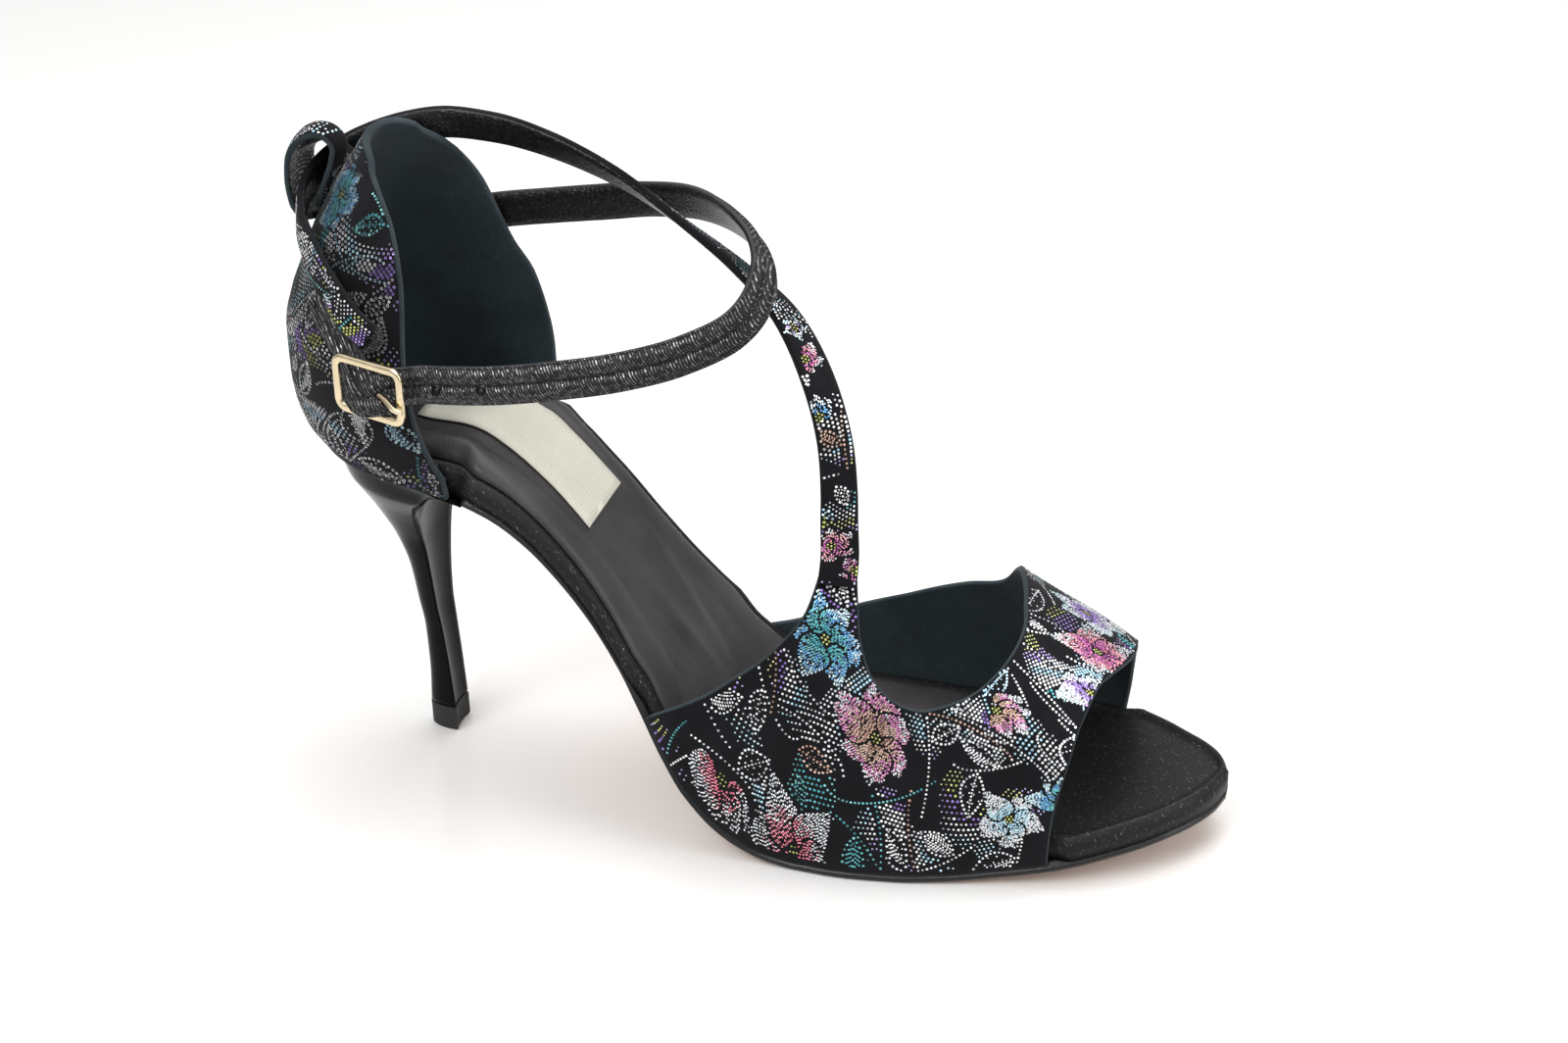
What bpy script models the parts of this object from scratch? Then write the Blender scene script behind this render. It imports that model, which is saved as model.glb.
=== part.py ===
"""A right shoe for tango: open toe, slim high heel, heel cage, crossed straps and a pin buckle."""

import math

import bmesh
import bpy
import numpy as np
from mathutils import Vector
from mathutils.geometry import delaunay_2d_cdt

MM = 0.001
SHOE_LENGTH = 0.217
BALL_WIDTH = 0.079
HEEL_HEIGHT = 0.0808
INSTEP_HEIGHT = 0.104
COUNTER_HEIGHT = 0.1555
COUNTER_WIDTH = 0.057
BACK_X = -0.004
SEAT_BACK_X = 0.0034
SEAT_SIDE_X = 0.034
SEAT_ROUNDNESS = 2.2
BREAST_X = 0.0435

OUTSOLE_THICKNESS = 0.0016
INSOLE_THICKNESS = 0.0046
ROLL_RISE = 0.0011
ROLL_WIDTH = 0.0030
VAMP_WALL = 0.0015
COUNTER_WALL = 0.0019
GAP = 0.0003
SOCK_THIN = 0.0011
SOCK_PAD_RISE = 0.0016
LABEL_THICKNESS = 0.0004
LABEL_WIDTH = 0.0222
VAMP_RIDGE_Y = 0.004
VAMP_ROUNDNESS = 2.3

STRAP_WIDTH = 0.0076
STRAP_THICKNESS = 0.0021
ANKLE_STRAP_WIDTH = 0.0087
ANKLE_STRAP_THICKNESS = 0.0024
BUCKLE_LENGTH = 0.0192
BUCKLE_WIDTH = 0.0136
BUCKLE_BAR = 0.0018
TIP_HEIGHT = 0.0066
SPARE_HOLE = 0.0018
LOOP_WIDTH = 0.0120
LOOP_THICKNESS = 0.0015

SHEET_STEP = 0.0040
AROUND_SPAN = 0.055
TURN_SPAN = 0.042

# share of length from the back, height by heel height, lateral and medial half width by ball width
SOLE_TABLE = (
    # along, height, lateral, medial
    (0.000, 1.004, 0.325, 0.325),
    (0.065, 0.993, 0.325, 0.325),
    (0.111, 0.983, 0.325, 0.325),
    (0.157, 0.968, 0.328, 0.325),
    (0.203, 0.943, 0.332, 0.325),
    (0.249, 0.897, 0.336, 0.305),
    (0.286, 0.833, 0.344, 0.262),
    (0.318, 0.753, 0.354, 0.247),
    (0.350, 0.653, 0.366, 0.246),
    (0.387, 0.516, 0.397, 0.268),
    (0.415, 0.403, 0.441, 0.308),
    (0.442, 0.284, 0.480, 0.370),
    (0.465, 0.188, 0.497, 0.418),
    (0.493, 0.099, 0.498, 0.456),
    (0.521, 0.043, 0.496, 0.477),
    (0.553, 0.010, 0.497, 0.487),
    (0.585, 0.000, 0.501, 0.489),
    (0.622, 0.000, 0.506, 0.489),
    (0.682, 0.000, 0.491, 0.482),
    (0.737, 0.008, 0.463, 0.470),
    (0.793, 0.027, 0.430, 0.446),
    (0.843, 0.049, 0.401, 0.414),
    (0.871, 0.062, 0.372, 0.380),
    (0.899, 0.077, 0.335, 0.328),
    (0.926, 0.088, 0.289, 0.272),
    (0.954, 0.101, 0.228, 0.202),
    (0.979, 0.111, 0.153, 0.135),
    (0.993, 0.116, 0.085, 0.079),
    (1.000, 0.119, 0.022, 0.022),
)

# height of the last's ridge over the floor, by instep height
RIDGE_TABLE = (
    # along, height
    (0.41, 1.000),
    (0.48, 0.913),
    (0.571, 0.798),
    (0.618, 0.736),
    (0.664, 0.675),
    (0.710, 0.610),
    (0.779, 0.512),
    (0.834, 0.452),
    (0.894, 0.388),
    (0.940, 0.345),
)

# edges of the vamp: share of length, and share round the last from lateral -1 to medial 1
VAMP_BACK_EDGE = (
    # along, around
    (0.421, -1.000),
    (0.462, -0.864),
    (0.494, -0.779),
    (0.520, -0.713),
    (0.542, -0.659),
    (0.565, -0.586),
    (0.583, -0.505),
    (0.590, -0.430),
    (0.594, -0.349),
)
THROAT_EDGE = (
    # along, around
    (0.627, -0.316),
    (0.632, -0.379),
    (0.642, -0.500),
    (0.652, -0.556),
    (0.662, -0.586),
    (0.683, -0.606),
    (0.705, -0.601),
    (0.729, -0.558),
    (0.752, -0.492),
    (0.772, -0.385),
    (0.784, -0.266),
    (0.788, -0.136),
    (0.780, 0.000),
    (0.766, 0.200),
    (0.752, 0.400),
    (0.731, 0.576),
    (0.688, 0.673),
    (0.626, 0.779),
    (0.561, 0.855),
    (0.510, 0.921),
    (0.459, 1.000),
)
TOE_EDGE = (
    # along, around
    (0.872, 1.000),
    (0.878, 0.861),
    (0.882, 0.714),
    (0.887, 0.500),
    (0.892, 0.250),
    (0.894, 0.005),
    (0.882, -0.132),
    (0.871, -0.240),
    (0.864, -0.380),
    (0.858, -0.500),
    (0.854, -0.612),
    (0.849, -0.712),
    (0.844, -0.801),
    (0.841, -0.887),
    (0.839, -1.000),
)

# heel cage by height share: back line by length, half width by counter width, wing fronts by length
COUNTER_TABLE = (
    # height, back, half width, lateral front, medial front
    (0.490, 0.0360, 0.463, 0.206, 0.238),
    (0.512, 0.0341, 0.468, 0.204, 0.238),
    (0.550, 0.0110, 0.482, 0.192, 0.237),
    (0.590, 0.0010, 0.497, 0.183, 0.235),
    (0.630, -0.0009, 0.507, 0.178, 0.230),
    (0.700, 0.0000, 0.509, 0.174, 0.216),
    (0.750, 0.0095, 0.491, 0.174, 0.197),
    (0.800, 0.0250, 0.470, 0.174, 0.184),
    (0.850, 0.0410, 0.440, 0.170, 0.173),
    (0.895, 0.0600, 0.382, 0.159, 0.160),
    (0.930, 0.0750, 0.322, 0.141, 0.145),
    (0.952, 0.0860, 0.277, 0.126, 0.130),
    (0.970, 0.0940, 0.250, 0.114, 0.118),
    (0.984, 0.1010, 0.235, 0.103, 0.103),
)

# sections of the heel from its tip to the seat
HEEL_TABLE = (
    # level height, back x, breast x, half width, tilt toward the seat's slope
    (0.083, 0.0203, 0.0279, 0.0040, 0.00),
    (0.210, 0.0208, 0.0273, 0.0042, 0.00),
    (0.340, 0.0206, 0.0265, 0.0045, 0.00),
    (0.440, 0.0196, 0.0258, 0.0052, 0.00),
    (0.560, 0.0184, 0.0256, 0.0066, 0.02),
    (0.660, 0.0160, 0.0256, 0.0086, 0.06),
    (0.745, 0.0131, 0.0264, 0.0122, 0.14),
    (0.810, 0.0106, 0.0276, 0.0158, 0.30),
    (0.870, 0.0081, 0.0300, 0.0200, 0.50),
    (0.920, 0.0056, 0.0345, 0.0236, 0.75),
    (0.962, 0.0036, 0.0434, 0.0264, 1.00),
)

# centre lines of the straps, in shares of length, ball width and counter height
FLORAL_STRAP = (
    # along, across, height, inner point along, across, height
    (0.6120, -0.275, 0.458, 0.575, 0.05, 0.360),
    (0.6110, -0.266, 0.510, 0.575, 0.05, 0.400),
    (0.6100, -0.257, 0.560, 0.560, 0.05, 0.450),
    (0.6040, -0.235, 0.628, 0.540, 0.05, 0.520),
    (0.5800, -0.172, 0.709, 0.500, 0.04, 0.600),
    (0.5400, -0.080, 0.774, 0.440, 0.02, 0.650),
    (0.4850, 0.016, 0.816, 0.380, 0.00, 0.700),
    (0.4160, 0.105, 0.856, 0.330, 0.00, 0.760),
    (0.3330, 0.190, 0.902, 0.260, 0.00, 0.830),
    (0.2560, 0.240, 0.930, 0.210, 0.00, 0.880),
    (0.1900, 0.262, 0.943, 0.160, 0.00, 0.915),
    (0.1350, 0.252, 0.945, 0.130, 0.00, 0.925),
    (0.0850, 0.170, 0.936, 0.140, 0.00, 0.920),
    (0.0470, 0.060, 0.917, 0.150, 0.00, 0.905),
    (0.0330, -0.060, 0.896, 0.150, 0.00, 0.885),
    (0.0370, -0.180, 0.869, 0.140, 0.00, 0.860),
    (0.0580, -0.285, 0.840, 0.130, 0.00, 0.830),
    (0.0860, -0.365, 0.810, 0.130, 0.00, 0.803),
    (0.1150, -0.415, 0.774, 0.130, 0.00, 0.770),
    (0.1260, -0.418, 0.763, 0.133, 0.00, 0.761),
)
ANKLE_STRAP = (
    # along, across, height, inner point along, across, height
    (0.1100, 0.385, 0.765, 0.130, 0.00, 0.755),
    (0.1750, 0.385, 0.788, 0.170, 0.00, 0.770),
    (0.2380, 0.372, 0.806, 0.215, 0.00, 0.780),
    (0.3000, 0.350, 0.824, 0.240, 0.00, 0.790),
    (0.3580, 0.315, 0.843, 0.280, 0.00, 0.790),
    (0.4140, 0.245, 0.859, 0.300, 0.00, 0.790),
    (0.4680, 0.125, 0.863, 0.330, 0.00, 0.770),
    (0.5060, 0.000, 0.854, 0.340, 0.00, 0.750),
    (0.5235, -0.112, 0.838, 0.340, 0.00, 0.730),
    (0.5225, -0.202, 0.812, 0.330, 0.00, 0.710),
    (0.5070, -0.268, 0.788, 0.310, 0.00, 0.700),
    (0.4650, -0.330, 0.761, 0.300, 0.00, 0.700),
    (0.4080, -0.385, 0.740, 0.280, 0.00, 0.700),
    (0.3400, -0.415, 0.722, 0.260, 0.00, 0.700),
    (0.2750, -0.430, 0.708, 0.240, 0.00, 0.695),
    (0.2250, -0.427, 0.700, 0.218, 0.00, 0.692),
    (0.2030, -0.424, 0.697, 0.203, 0.00, 0.694),
    (0.1890, -0.421, 0.692, 0.189, 0.00, 0.692),
    (0.1750, -0.429, 0.690, 0.175, 0.00, 0.684),
    (0.1570, -0.462, 0.680, 0.157, 0.00, 0.590),
    (0.1470, -0.467, 0.677, 0.147, 0.00, 0.570),
    (0.1385, -0.450, 0.695, 0.135, 0.00, 0.610),
    (0.1340, -0.420, 0.718, 0.130, 0.00, 0.660),
    (0.1250, -0.388, 0.743, 0.122, 0.00, 0.720),
    (0.1060, -0.362, 0.770, 0.112, 0.00, 0.765),
    (0.0880, -0.343, 0.793, 0.108, 0.00, 0.793),
)

# path of the back loop in the plane of symmetry, behind the heel cage
LOOP_TABLE = (
    # along, height
    (0.0116, 0.765),
    (0.0076, 0.800),
    (0.0050, 0.840),
    (0.0090, 0.885),
    (0.0200, 0.930),
    (0.0400, 0.962),
    (0.0600, 0.972),
    (0.0747, 0.963),
)


def clear_scene():
    for obj in list(bpy.data.objects):
        bpy.data.objects.remove(obj, do_unlink=True)


def column(table, index):
    return np.array([row[index] for row in table], float)


def slopes_of(xs, ys):
    """Slopes that keep a cubic between the rows from overshooting."""
    step = np.diff(xs)
    rise = np.diff(ys) / step
    slopes = np.zeros(len(xs))
    slopes[0] = rise[0]
    slopes[-1] = rise[-1]
    for i in range(1, len(xs) - 1):
        if rise[i - 1] * rise[i] > 0:
            first = 2 * step[i] + step[i - 1]
            second = step[i] + 2 * step[i - 1]
            slopes[i] = (first + second) / (first / rise[i - 1] + second / rise[i])
    return slopes


def curve_through(xs, ys):
    slopes = slopes_of(xs, ys)

    def value(x):
        x = min(max(x, xs[0]), xs[-1])
        i = int(min(max(np.searchsorted(xs, x) - 1, 0), len(xs) - 2))
        span = xs[i + 1] - xs[i]
        t = (x - xs[i]) / span
        a = (1 + 2 * t) * (1 - t) ** 2 * ys[i]
        b = t * (1 - t) ** 2 * span * slopes[i]
        c = t * t * (3 - 2 * t) * ys[i + 1]
        d = t * t * (t - 1) * span * slopes[i + 1]
        return a + b + c + d

    return value


def path_through(points, count):
    """Evenly spaced points on a smooth line through the given ones."""
    points = np.array(points, float)
    chord = np.concatenate([[0], np.cumsum(np.linalg.norm(np.diff(points, axis=0), axis=1))])
    lines = []
    for axis in range(points.shape[1]):
        tangent = np.gradient(points[:, axis], chord)
        lines.append((points[:, axis], tangent))
    fine = []
    for s in np.linspace(0, chord[-1], count * 8):
        i = int(min(max(np.searchsorted(chord, s) - 1, 0), len(chord) - 2))
        span = chord[i + 1] - chord[i]
        t = (s - chord[i]) / span
        row = []
        for value, tangent in lines:
            a = (1 + 2 * t) * (1 - t) ** 2 * value[i]
            b = t * (1 - t) ** 2 * span * tangent[i]
            c = t * t * (3 - 2 * t) * value[i + 1]
            d = t * t * (t - 1) * span * tangent[i + 1]
            row.append(a + b + c + d)
        fine.append(row)
    fine = np.array(fine)
    run = np.concatenate([[0], np.cumsum(np.linalg.norm(np.diff(fine[:, :3], axis=0), axis=1))])
    even = np.linspace(0, run[-1], count)
    return np.stack([np.interp(even, run, fine[:, axis]) for axis in range(fine.shape[1])], axis=1)


def along(share):
    return BACK_X + share * SHOE_LENGTH


SOLE_X = along(column(SOLE_TABLE, 0))
sole_height = curve_through(SOLE_X, column(SOLE_TABLE, 1) * HEEL_HEIGHT)
lateral_width = curve_through(SOLE_X, column(SOLE_TABLE, 2) * BALL_WIDTH)
medial_width = curve_through(SOLE_X, column(SOLE_TABLE, 3) * BALL_WIDTH)
ridge_height = curve_through(along(column(RIDGE_TABLE, 0)), column(RIDGE_TABLE, 1) * INSTEP_HEIGHT)


def seat_share(x):
    """Share of the full seat width at x, rounding in toward the back of the heel."""
    if x >= SEAT_SIDE_X:
        return 1.0
    depth = min((SEAT_SIDE_X - x) / (SEAT_SIDE_X - SEAT_BACK_X), 1.0)
    return (1 - depth**SEAT_ROUNDNESS) ** (1 / SEAT_ROUNDNESS)


def half_width(x, side):
    width = lateral_width(x) if side < 0 else medial_width(x)
    return width * seat_share(x)


def vamp_point(x, around):
    """A point of the last over the forefoot, lateral edge at -1, ridge at 0, medial edge at 1."""
    side = -1 if around < 0 else 1
    angle = (1 - min(abs(around), 1.0)) * math.pi / 2
    reach = half_width(x, side) - side * VAMP_RIDGE_Y
    floor = sole_height(x) + OUTSOLE_THICKNESS + GAP
    out = math.cos(angle) ** (2 / VAMP_ROUNDNESS)
    up = math.sin(angle) ** (2 / VAMP_ROUNDNESS)
    return Vector((x, VAMP_RIDGE_Y + side * reach * out, floor + (ridge_height(x) - floor) * up))


COUNTER_Z = column(COUNTER_TABLE, 0) * COUNTER_HEIGHT
counter_back = curve_through(COUNTER_Z, along(column(COUNTER_TABLE, 1)))
counter_half = curve_through(COUNTER_Z, column(COUNTER_TABLE, 2) * COUNTER_WIDTH)
lateral_front = curve_through(COUNTER_Z, along(column(COUNTER_TABLE, 3)))
medial_front = curve_through(COUNTER_Z, along(column(COUNTER_TABLE, 4)))


def counter_point(turn, z):
    """A point of the heel cage, lateral at negative turns; beyond 1 it runs straight forward."""
    side = -1 if turn < 0 else 1
    bend = min(abs(turn), 1.0)
    angle = bend * math.pi / 2
    depth = SEAT_SIDE_X - counter_back(z)
    x = SEAT_SIDE_X - depth * math.cos(angle) ** (2 / SEAT_ROUNDNESS)
    x += max(abs(turn) - 1.0, 0.0) * TURN_SPAN
    y = side * counter_half(z) * math.sin(angle) ** (2 / SEAT_ROUNDNESS)
    return Vector((x, y, z))


def counter_turn(x, z):
    """The turn at which the cage's section at height z reaches x."""
    if x >= SEAT_SIDE_X:
        return 1.0 + (x - SEAT_SIDE_X) / TURN_SPAN
    depth = SEAT_SIDE_X - counter_back(z)
    share = min(max((SEAT_SIDE_X - x) / depth, 0.0), 1.0)
    return math.acos(share ** (SEAT_ROUNDNESS / 2)) / (math.pi / 2)


def colour_of(name, rgb, roughness, metallic):
    material = bpy.data.materials.new(name)
    material.use_nodes = True
    shader = material.node_tree.nodes["Principled BSDF"]
    shader.inputs["Base Color"].default_value = (*rgb, 1.0)
    shader.inputs["Roughness"].default_value = roughness
    shader.inputs["Metallic"].default_value = metallic
    return material


def object_from(name, mesh_data, material, collection):
    mesh = bpy.data.meshes.new(name)
    mesh_data.to_mesh(mesh)
    mesh_data.free()
    mesh.materials.append(material)
    made = bpy.data.objects.new(name, mesh)
    collection.objects.link(made)
    return made


def loft(name, sections, material, collection, closed_path=False):
    """A closed skin over rings of points, capped at both ends unless the path closes on itself."""
    form = bmesh.new()
    rings = [[form.verts.new(point) for point in ring] for ring in sections]
    count = len(rings[0])
    pairs = list(zip(rings, rings[1:]))
    if closed_path:
        pairs.append((rings[-1], rings[0]))
    for first, second in pairs:
        for i in range(count):
            j = (i + 1) % count
            form.faces.new((first[i], first[j], second[j], second[i]))
    if not closed_path:
        form.faces.new(list(reversed(rings[0])))
        form.faces.new(rings[-1])
    bmesh.ops.triangulate(form, faces=[f for f in form.faces if len(f.verts) > 4])
    bmesh.ops.recalc_face_normals(form, faces=form.faces)
    if form.calc_volume(signed=True) < 0:
        bmesh.ops.reverse_faces(form, faces=form.faces)
    return object_from(name, form, material, collection)


def sheet(name, outline, place, step, wall, material, collection):
    """A curved sheet inside an outline drawn on its surface, thickened inward by a solidify."""
    outline = np.array(outline)
    low = outline.min(axis=0)
    high = outline.max(axis=0)
    inner = []
    rows = int((high[1] - low[1]) / (step * 0.866)) + 1
    for row in range(rows):
        t = low[1] + row * step * 0.866
        offset = step / 2 if row % 2 else 0.0
        for s in np.arange(low[0] + offset, high[0], step):
            if is_inside(outline, s, t) and distance_to(outline, s, t) > step * 0.55:
                inner.append((s, t))
    points = [Vector(p) for p in outline] + [Vector(p) for p in inner]
    count = len(outline)
    edges = [(i, (i + 1) % count) for i in range(count)]
    found = delaunay_2d_cdt(points, edges, [list(range(count))], 1, 1e-7)
    form = bmesh.new()
    corners = [form.verts.new(place(p.x, p.y)) for p in found[0]]
    for face in found[2]:
        form.faces.new([corners[i] for i in face])
    bmesh.ops.recalc_face_normals(form, faces=form.faces)
    form.faces.ensure_lookup_table()
    made = object_from(name, form, material, collection)
    thicken(made, wall)
    return made


def thicken(made, wall):
    """Adds the wall on the inner side, whichever way the faces came out."""
    mesh = made.data
    centre = sum((v.co for v in mesh.vertices), Vector()) / len(mesh.vertices)
    outward = sum((p.center - centre).dot(p.normal) * p.area for p in mesh.polygons)
    if outward < 0:
        mesh.flip_normals()
    solidify = made.modifiers.new("wall", "SOLIDIFY")
    solidify.thickness = wall
    solidify.offset = -1.0
    solidify.use_even_offset = True
    solidify.use_quality_normals = True


def is_inside(outline, s, t):
    ends = np.roll(outline, -1, axis=0)
    crosses = (outline[:, 1] > t) != (ends[:, 1] > t)
    rise = np.where(crosses, ends[:, 1] - outline[:, 1], 1.0)
    at = outline[:, 0] + (t - outline[:, 1]) / rise * (ends[:, 0] - outline[:, 0])
    return bool(np.sum(crosses & (s < at)) % 2)


def distance_to(outline, s, t):
    ends = np.roll(outline, -1, axis=0)
    run = ends - outline
    length = np.maximum((run**2).sum(axis=1), 1e-12)
    share = np.clip(((s - outline[:, 0]) * run[:, 0] + (t - outline[:, 1]) * run[:, 1]) / length, 0, 1)
    near = outline + run * share[:, None]
    return float(np.min(np.hypot(near[:, 0] - s, near[:, 1] - t)))


def edge_points(table, step):
    """Evenly spaced points on one edge of the vamp, as x and arc round the last."""
    rows = [(along(a), b * AROUND_SPAN) for a, b in table]
    length = np.sum(np.linalg.norm(np.diff(np.array(rows), axis=0), axis=1))
    return path_through([(*row, 0.0) for row in rows], max(int(length / step), 3))[:, :2]


def spaced(first, last, step):
    count = max(int(np.linalg.norm(np.subtract(last, first)) / step), 1)
    return [tuple(np.add(first, np.subtract(last, first) * i / count)) for i in range(1, count)]


def make_vamp(material, collection):
    back = edge_points(VAMP_BACK_EDGE, SHEET_STEP)
    throat = edge_points(THROAT_EDGE, SHEET_STEP)
    toe = edge_points(TOE_EDGE, SHEET_STEP)
    outline = [tuple(p) for p in back]
    outline += spaced(back[-1], throat[0], SHEET_STEP)
    outline += [tuple(p) for p in throat]
    outline += spaced(throat[-1], toe[0], SHEET_STEP)
    outline += [tuple(p) for p in toe]
    outline += spaced(toe[-1], back[0], SHEET_STEP)
    return sheet(
        "vamp",
        outline,
        lambda s, t: vamp_point(s, t / AROUND_SPAN),
        SHEET_STEP,
        VAMP_WALL,
        material,
        collection,
    )


def seat_edge(turn):
    """Height of the cage's lower edge at this turn, just over the heel."""
    z = HEEL_HEIGHT
    for _ in range(4):
        x = counter_point(turn, z).x
        z = sole_height(x) + GAP + (OUTSOLE_THICKNESS if x > BREAST_X - GAP else 0.0)
    return z


def front_outline(front, side, heights):
    rows = []
    for z in heights:
        rows.append((side * counter_turn(front(z), z) * TURN_SPAN, z))
    return rows


def make_counter(material, collection):
    low = COUNTER_Z[1]
    shoulder = COUNTER_Z[-3]
    side_heights = np.linspace(low, shoulder, 18)
    lateral = front_outline(lateral_front, -1, side_heights)
    medial = front_outline(medial_front, 1, side_heights)
    arch = []
    first = lateral[-1][0]
    last = medial[-1][0]
    for i in range(1, 12):
        share = i / 12
        turn = first + (last - first) * share
        lift = (1 - abs(2 * share - 1) ** 2.2) ** 0.6
        arch.append((turn, shoulder + (COUNTER_Z[-1] - shoulder) * lift))
    foot = []
    start = lateral[0][0] / TURN_SPAN
    end = medial[0][0] / TURN_SPAN
    for turn in np.linspace(end, start, 34):
        foot.append((turn * TURN_SPAN, seat_edge(turn)))
    outline = lateral[1:] + arch + list(reversed(medial[1:])) + foot
    return sheet(
        "heel_counter",
        outline,
        lambda s, t: counter_point(s / TURN_SPAN, t),
        SHEET_STEP,
        COUNTER_WALL,
        material,
        collection,
    )


def inset_at(x, side):
    """How far the insole's edge stands back to leave room for the cage and the vamp."""
    hidden = COUNTER_WALL + GAP + 0.0005
    covered = VAMP_WALL + GAP + 0.0007
    cage_end = lateral_front(sole_height(BREAST_X)) if side < 0 else medial_front(sole_height(BREAST_X))
    vamp_start = along(VAMP_BACK_EDGE[0][0]) if side < 0 else along(THROAT_EDGE[-1][0])
    vamp_end = along(TOE_EDGE[-1][0]) if side < 0 else along(TOE_EDGE[0][0])
    if x < cage_end + 2 * GAP:
        return hidden
    if vamp_start - 2 * GAP < x < vamp_end + 2 * GAP:
        return covered
    return 0.0002


def edge_steps():
    """Where the insole's edge steps between its covered and its bare widths."""
    seat = sole_height(BREAST_X)
    return (
        BREAST_X,
        lateral_front(seat) + 2 * GAP,
        medial_front(seat) + 2 * GAP,
        along(VAMP_BACK_EDGE[0][0]) - 2 * GAP,
        along(THROAT_EDGE[-1][0]) - 2 * GAP,
        along(TOE_EDGE[0][0]) + 2 * GAP,
        along(TOE_EDGE[-1][0]) + 2 * GAP,
    )


def sole_stations():
    """Stations shared by the sole and the insole, paired at each step and crowded at both ends."""
    first = SEAT_BACK_X + 0.0026
    last = along(1.0)
    marks = [first + (SEAT_SIDE_X - first) * (i / 8) ** 1.6 for i in range(8)]
    marks += list(np.linspace(SEAT_SIDE_X, along(0.9), 40))
    marks += [along(0.9) + (last - along(0.9)) * math.sin(i / 9 * math.pi / 2) for i in range(1, 10)]
    steps = edge_steps()
    kept = [x for x in marks if min(abs(x - step) for step in steps) > 3 * GAP]
    for step in steps:
        kept += [step - GAP, step + GAP / 3]
    return sorted(kept)


def rolled_section(x, bottom, lateral, medial):
    """Flat underneath, rounded at both edges, with a low channel between the rolls."""
    base = sole_height(x)
    top = bottom + INSOLE_THICKNESS
    crest = top + ROLL_RISE
    ring = []
    mid = (lateral + medial) / 2
    roll = min(ROLL_WIDTH, mid * 0.45)
    for side, width in ((-1, lateral), (1, medial)):
        edge = []
        edge.append((width - roll * 0.5, bottom))
        edge.append((width - roll * 0.1, bottom + 0.0008))
        edge.append((width, bottom + (crest - bottom) * 0.5))
        edge.append((width - roll * 0.2, crest - 0.0008))
        edge.append((width - roll * 0.55, crest))
        edge.append((width - roll, top))
        points = [Vector((x, side * y, base + z)) for y, z in edge]
        ring += points if side < 0 else list(reversed(points))
    return ring


def insole_bottom(x):
    """Height of the insole over the sole line: on the heel's seat, then on the outsole."""
    return GAP if x < BREAST_X - 2 * GAP else OUTSOLE_THICKNESS + GAP


def make_insole(material, collection):
    rings = []
    for x in sole_stations()[:-1]:
        bottom = insole_bottom(x)
        lateral = max(inner_width(x, -1), 0.0004)
        medial = max(inner_width(x, 1), 0.0004)
        rings.append(rolled_section(x, bottom, lateral, medial))
    return loft("insole_board", rings, material, collection)


def inner_width(x, side):
    inset = inset_at(x, side)
    if x < SEAT_SIDE_X:
        width = lateral_width(x) if side < 0 else medial_width(x)
        depth = min((SEAT_SIDE_X - x) / (SEAT_SIDE_X - SEAT_BACK_X - inset), 1.0)
        return (width - inset) * (1 - depth**SEAT_ROUNDNESS) ** (1 / SEAT_ROUNDNESS)
    return half_width(x, side) - inset


def make_outsole(material, collection):
    rings = []
    for x in [x for x in sole_stations() if x > BREAST_X]:
        lateral = max(half_width(x, -1), 0.0004)
        medial = max(half_width(x, 1), 0.0004)
        base = sole_height(x)
        ring = []
        for share in (1.0, 0.98, 0.5, 0.0, -0.5, -0.98, -1.0):
            width = lateral if share > 0 else medial
            lift = 0.0004 if abs(share) == 1.0 else 0.0
            ring.append(Vector((x, -share * width, base + lift)))
        for share in (-1.0, -0.5, 0.0, 0.5, 1.0):
            width = lateral if share > 0 else medial
            ring.append(Vector((x, -share * width, base + OUTSOLE_THICKNESS)))
        rings.append(ring)
    return loft("outsole", rings, material, collection)


def make_sock(material, collection):
    """A thin lining over the insole with two padded ridges and a channel between them."""
    rings = []
    start = SEAT_BACK_X + 0.0065
    end = along(0.755)
    for x in [start] + [x for x in sole_stations() if start + 0.001 < x < end]:
        lateral = sock_width(x, -1, start)
        medial = sock_width(x, 1, start)
        base = sole_height(x) + insole_bottom(x) + INSOLE_THICKNESS + GAP
        ring = [Vector((x, -lateral, base)), Vector((x, medial, base))]
        for share in (1.0, 0.94, 0.81, 0.68, 0.61, 0.0, -0.61, -0.68, -0.81, -0.94, -1.0):
            width = medial if share > 0 else lateral
            pad = max(1 - ((abs(share) - 0.81) / 0.2) ** 2, 0.0)
            rise = SOCK_THIN * (0.5 if abs(share) == 1.0 else 1.0) + SOCK_PAD_RISE * pad * pad_share(x)
            ring.append(Vector((x, share * width, base + rise)))
        rings.append(ring)
    return loft("sock_lining", rings, material, collection)


def pad_share(x):
    """The padding fades out toward the ball."""
    return min(max((along(0.62) - x) / (0.25 * SHOE_LENGTH), 0.0), 1.0)


def sock_width(x, side, start):
    inset = 0.0036
    if x >= SEAT_SIDE_X:
        return half_width(x, side) - inset - inset_at(x, side)
    width = (lateral_width(x) if side < 0 else medial_width(x)) - inset - 0.0027
    depth = min((SEAT_SIDE_X - x) / (SEAT_SIDE_X - start + 0.0004), 1.0)
    return max(width * (1 - depth**SEAT_ROUNDNESS) ** (1 / SEAT_ROUNDNESS), 0.002)


def sock_top(x):
    return sole_height(x) + insole_bottom(x) + INSOLE_THICKNESS + GAP + SOCK_THIN


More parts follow.
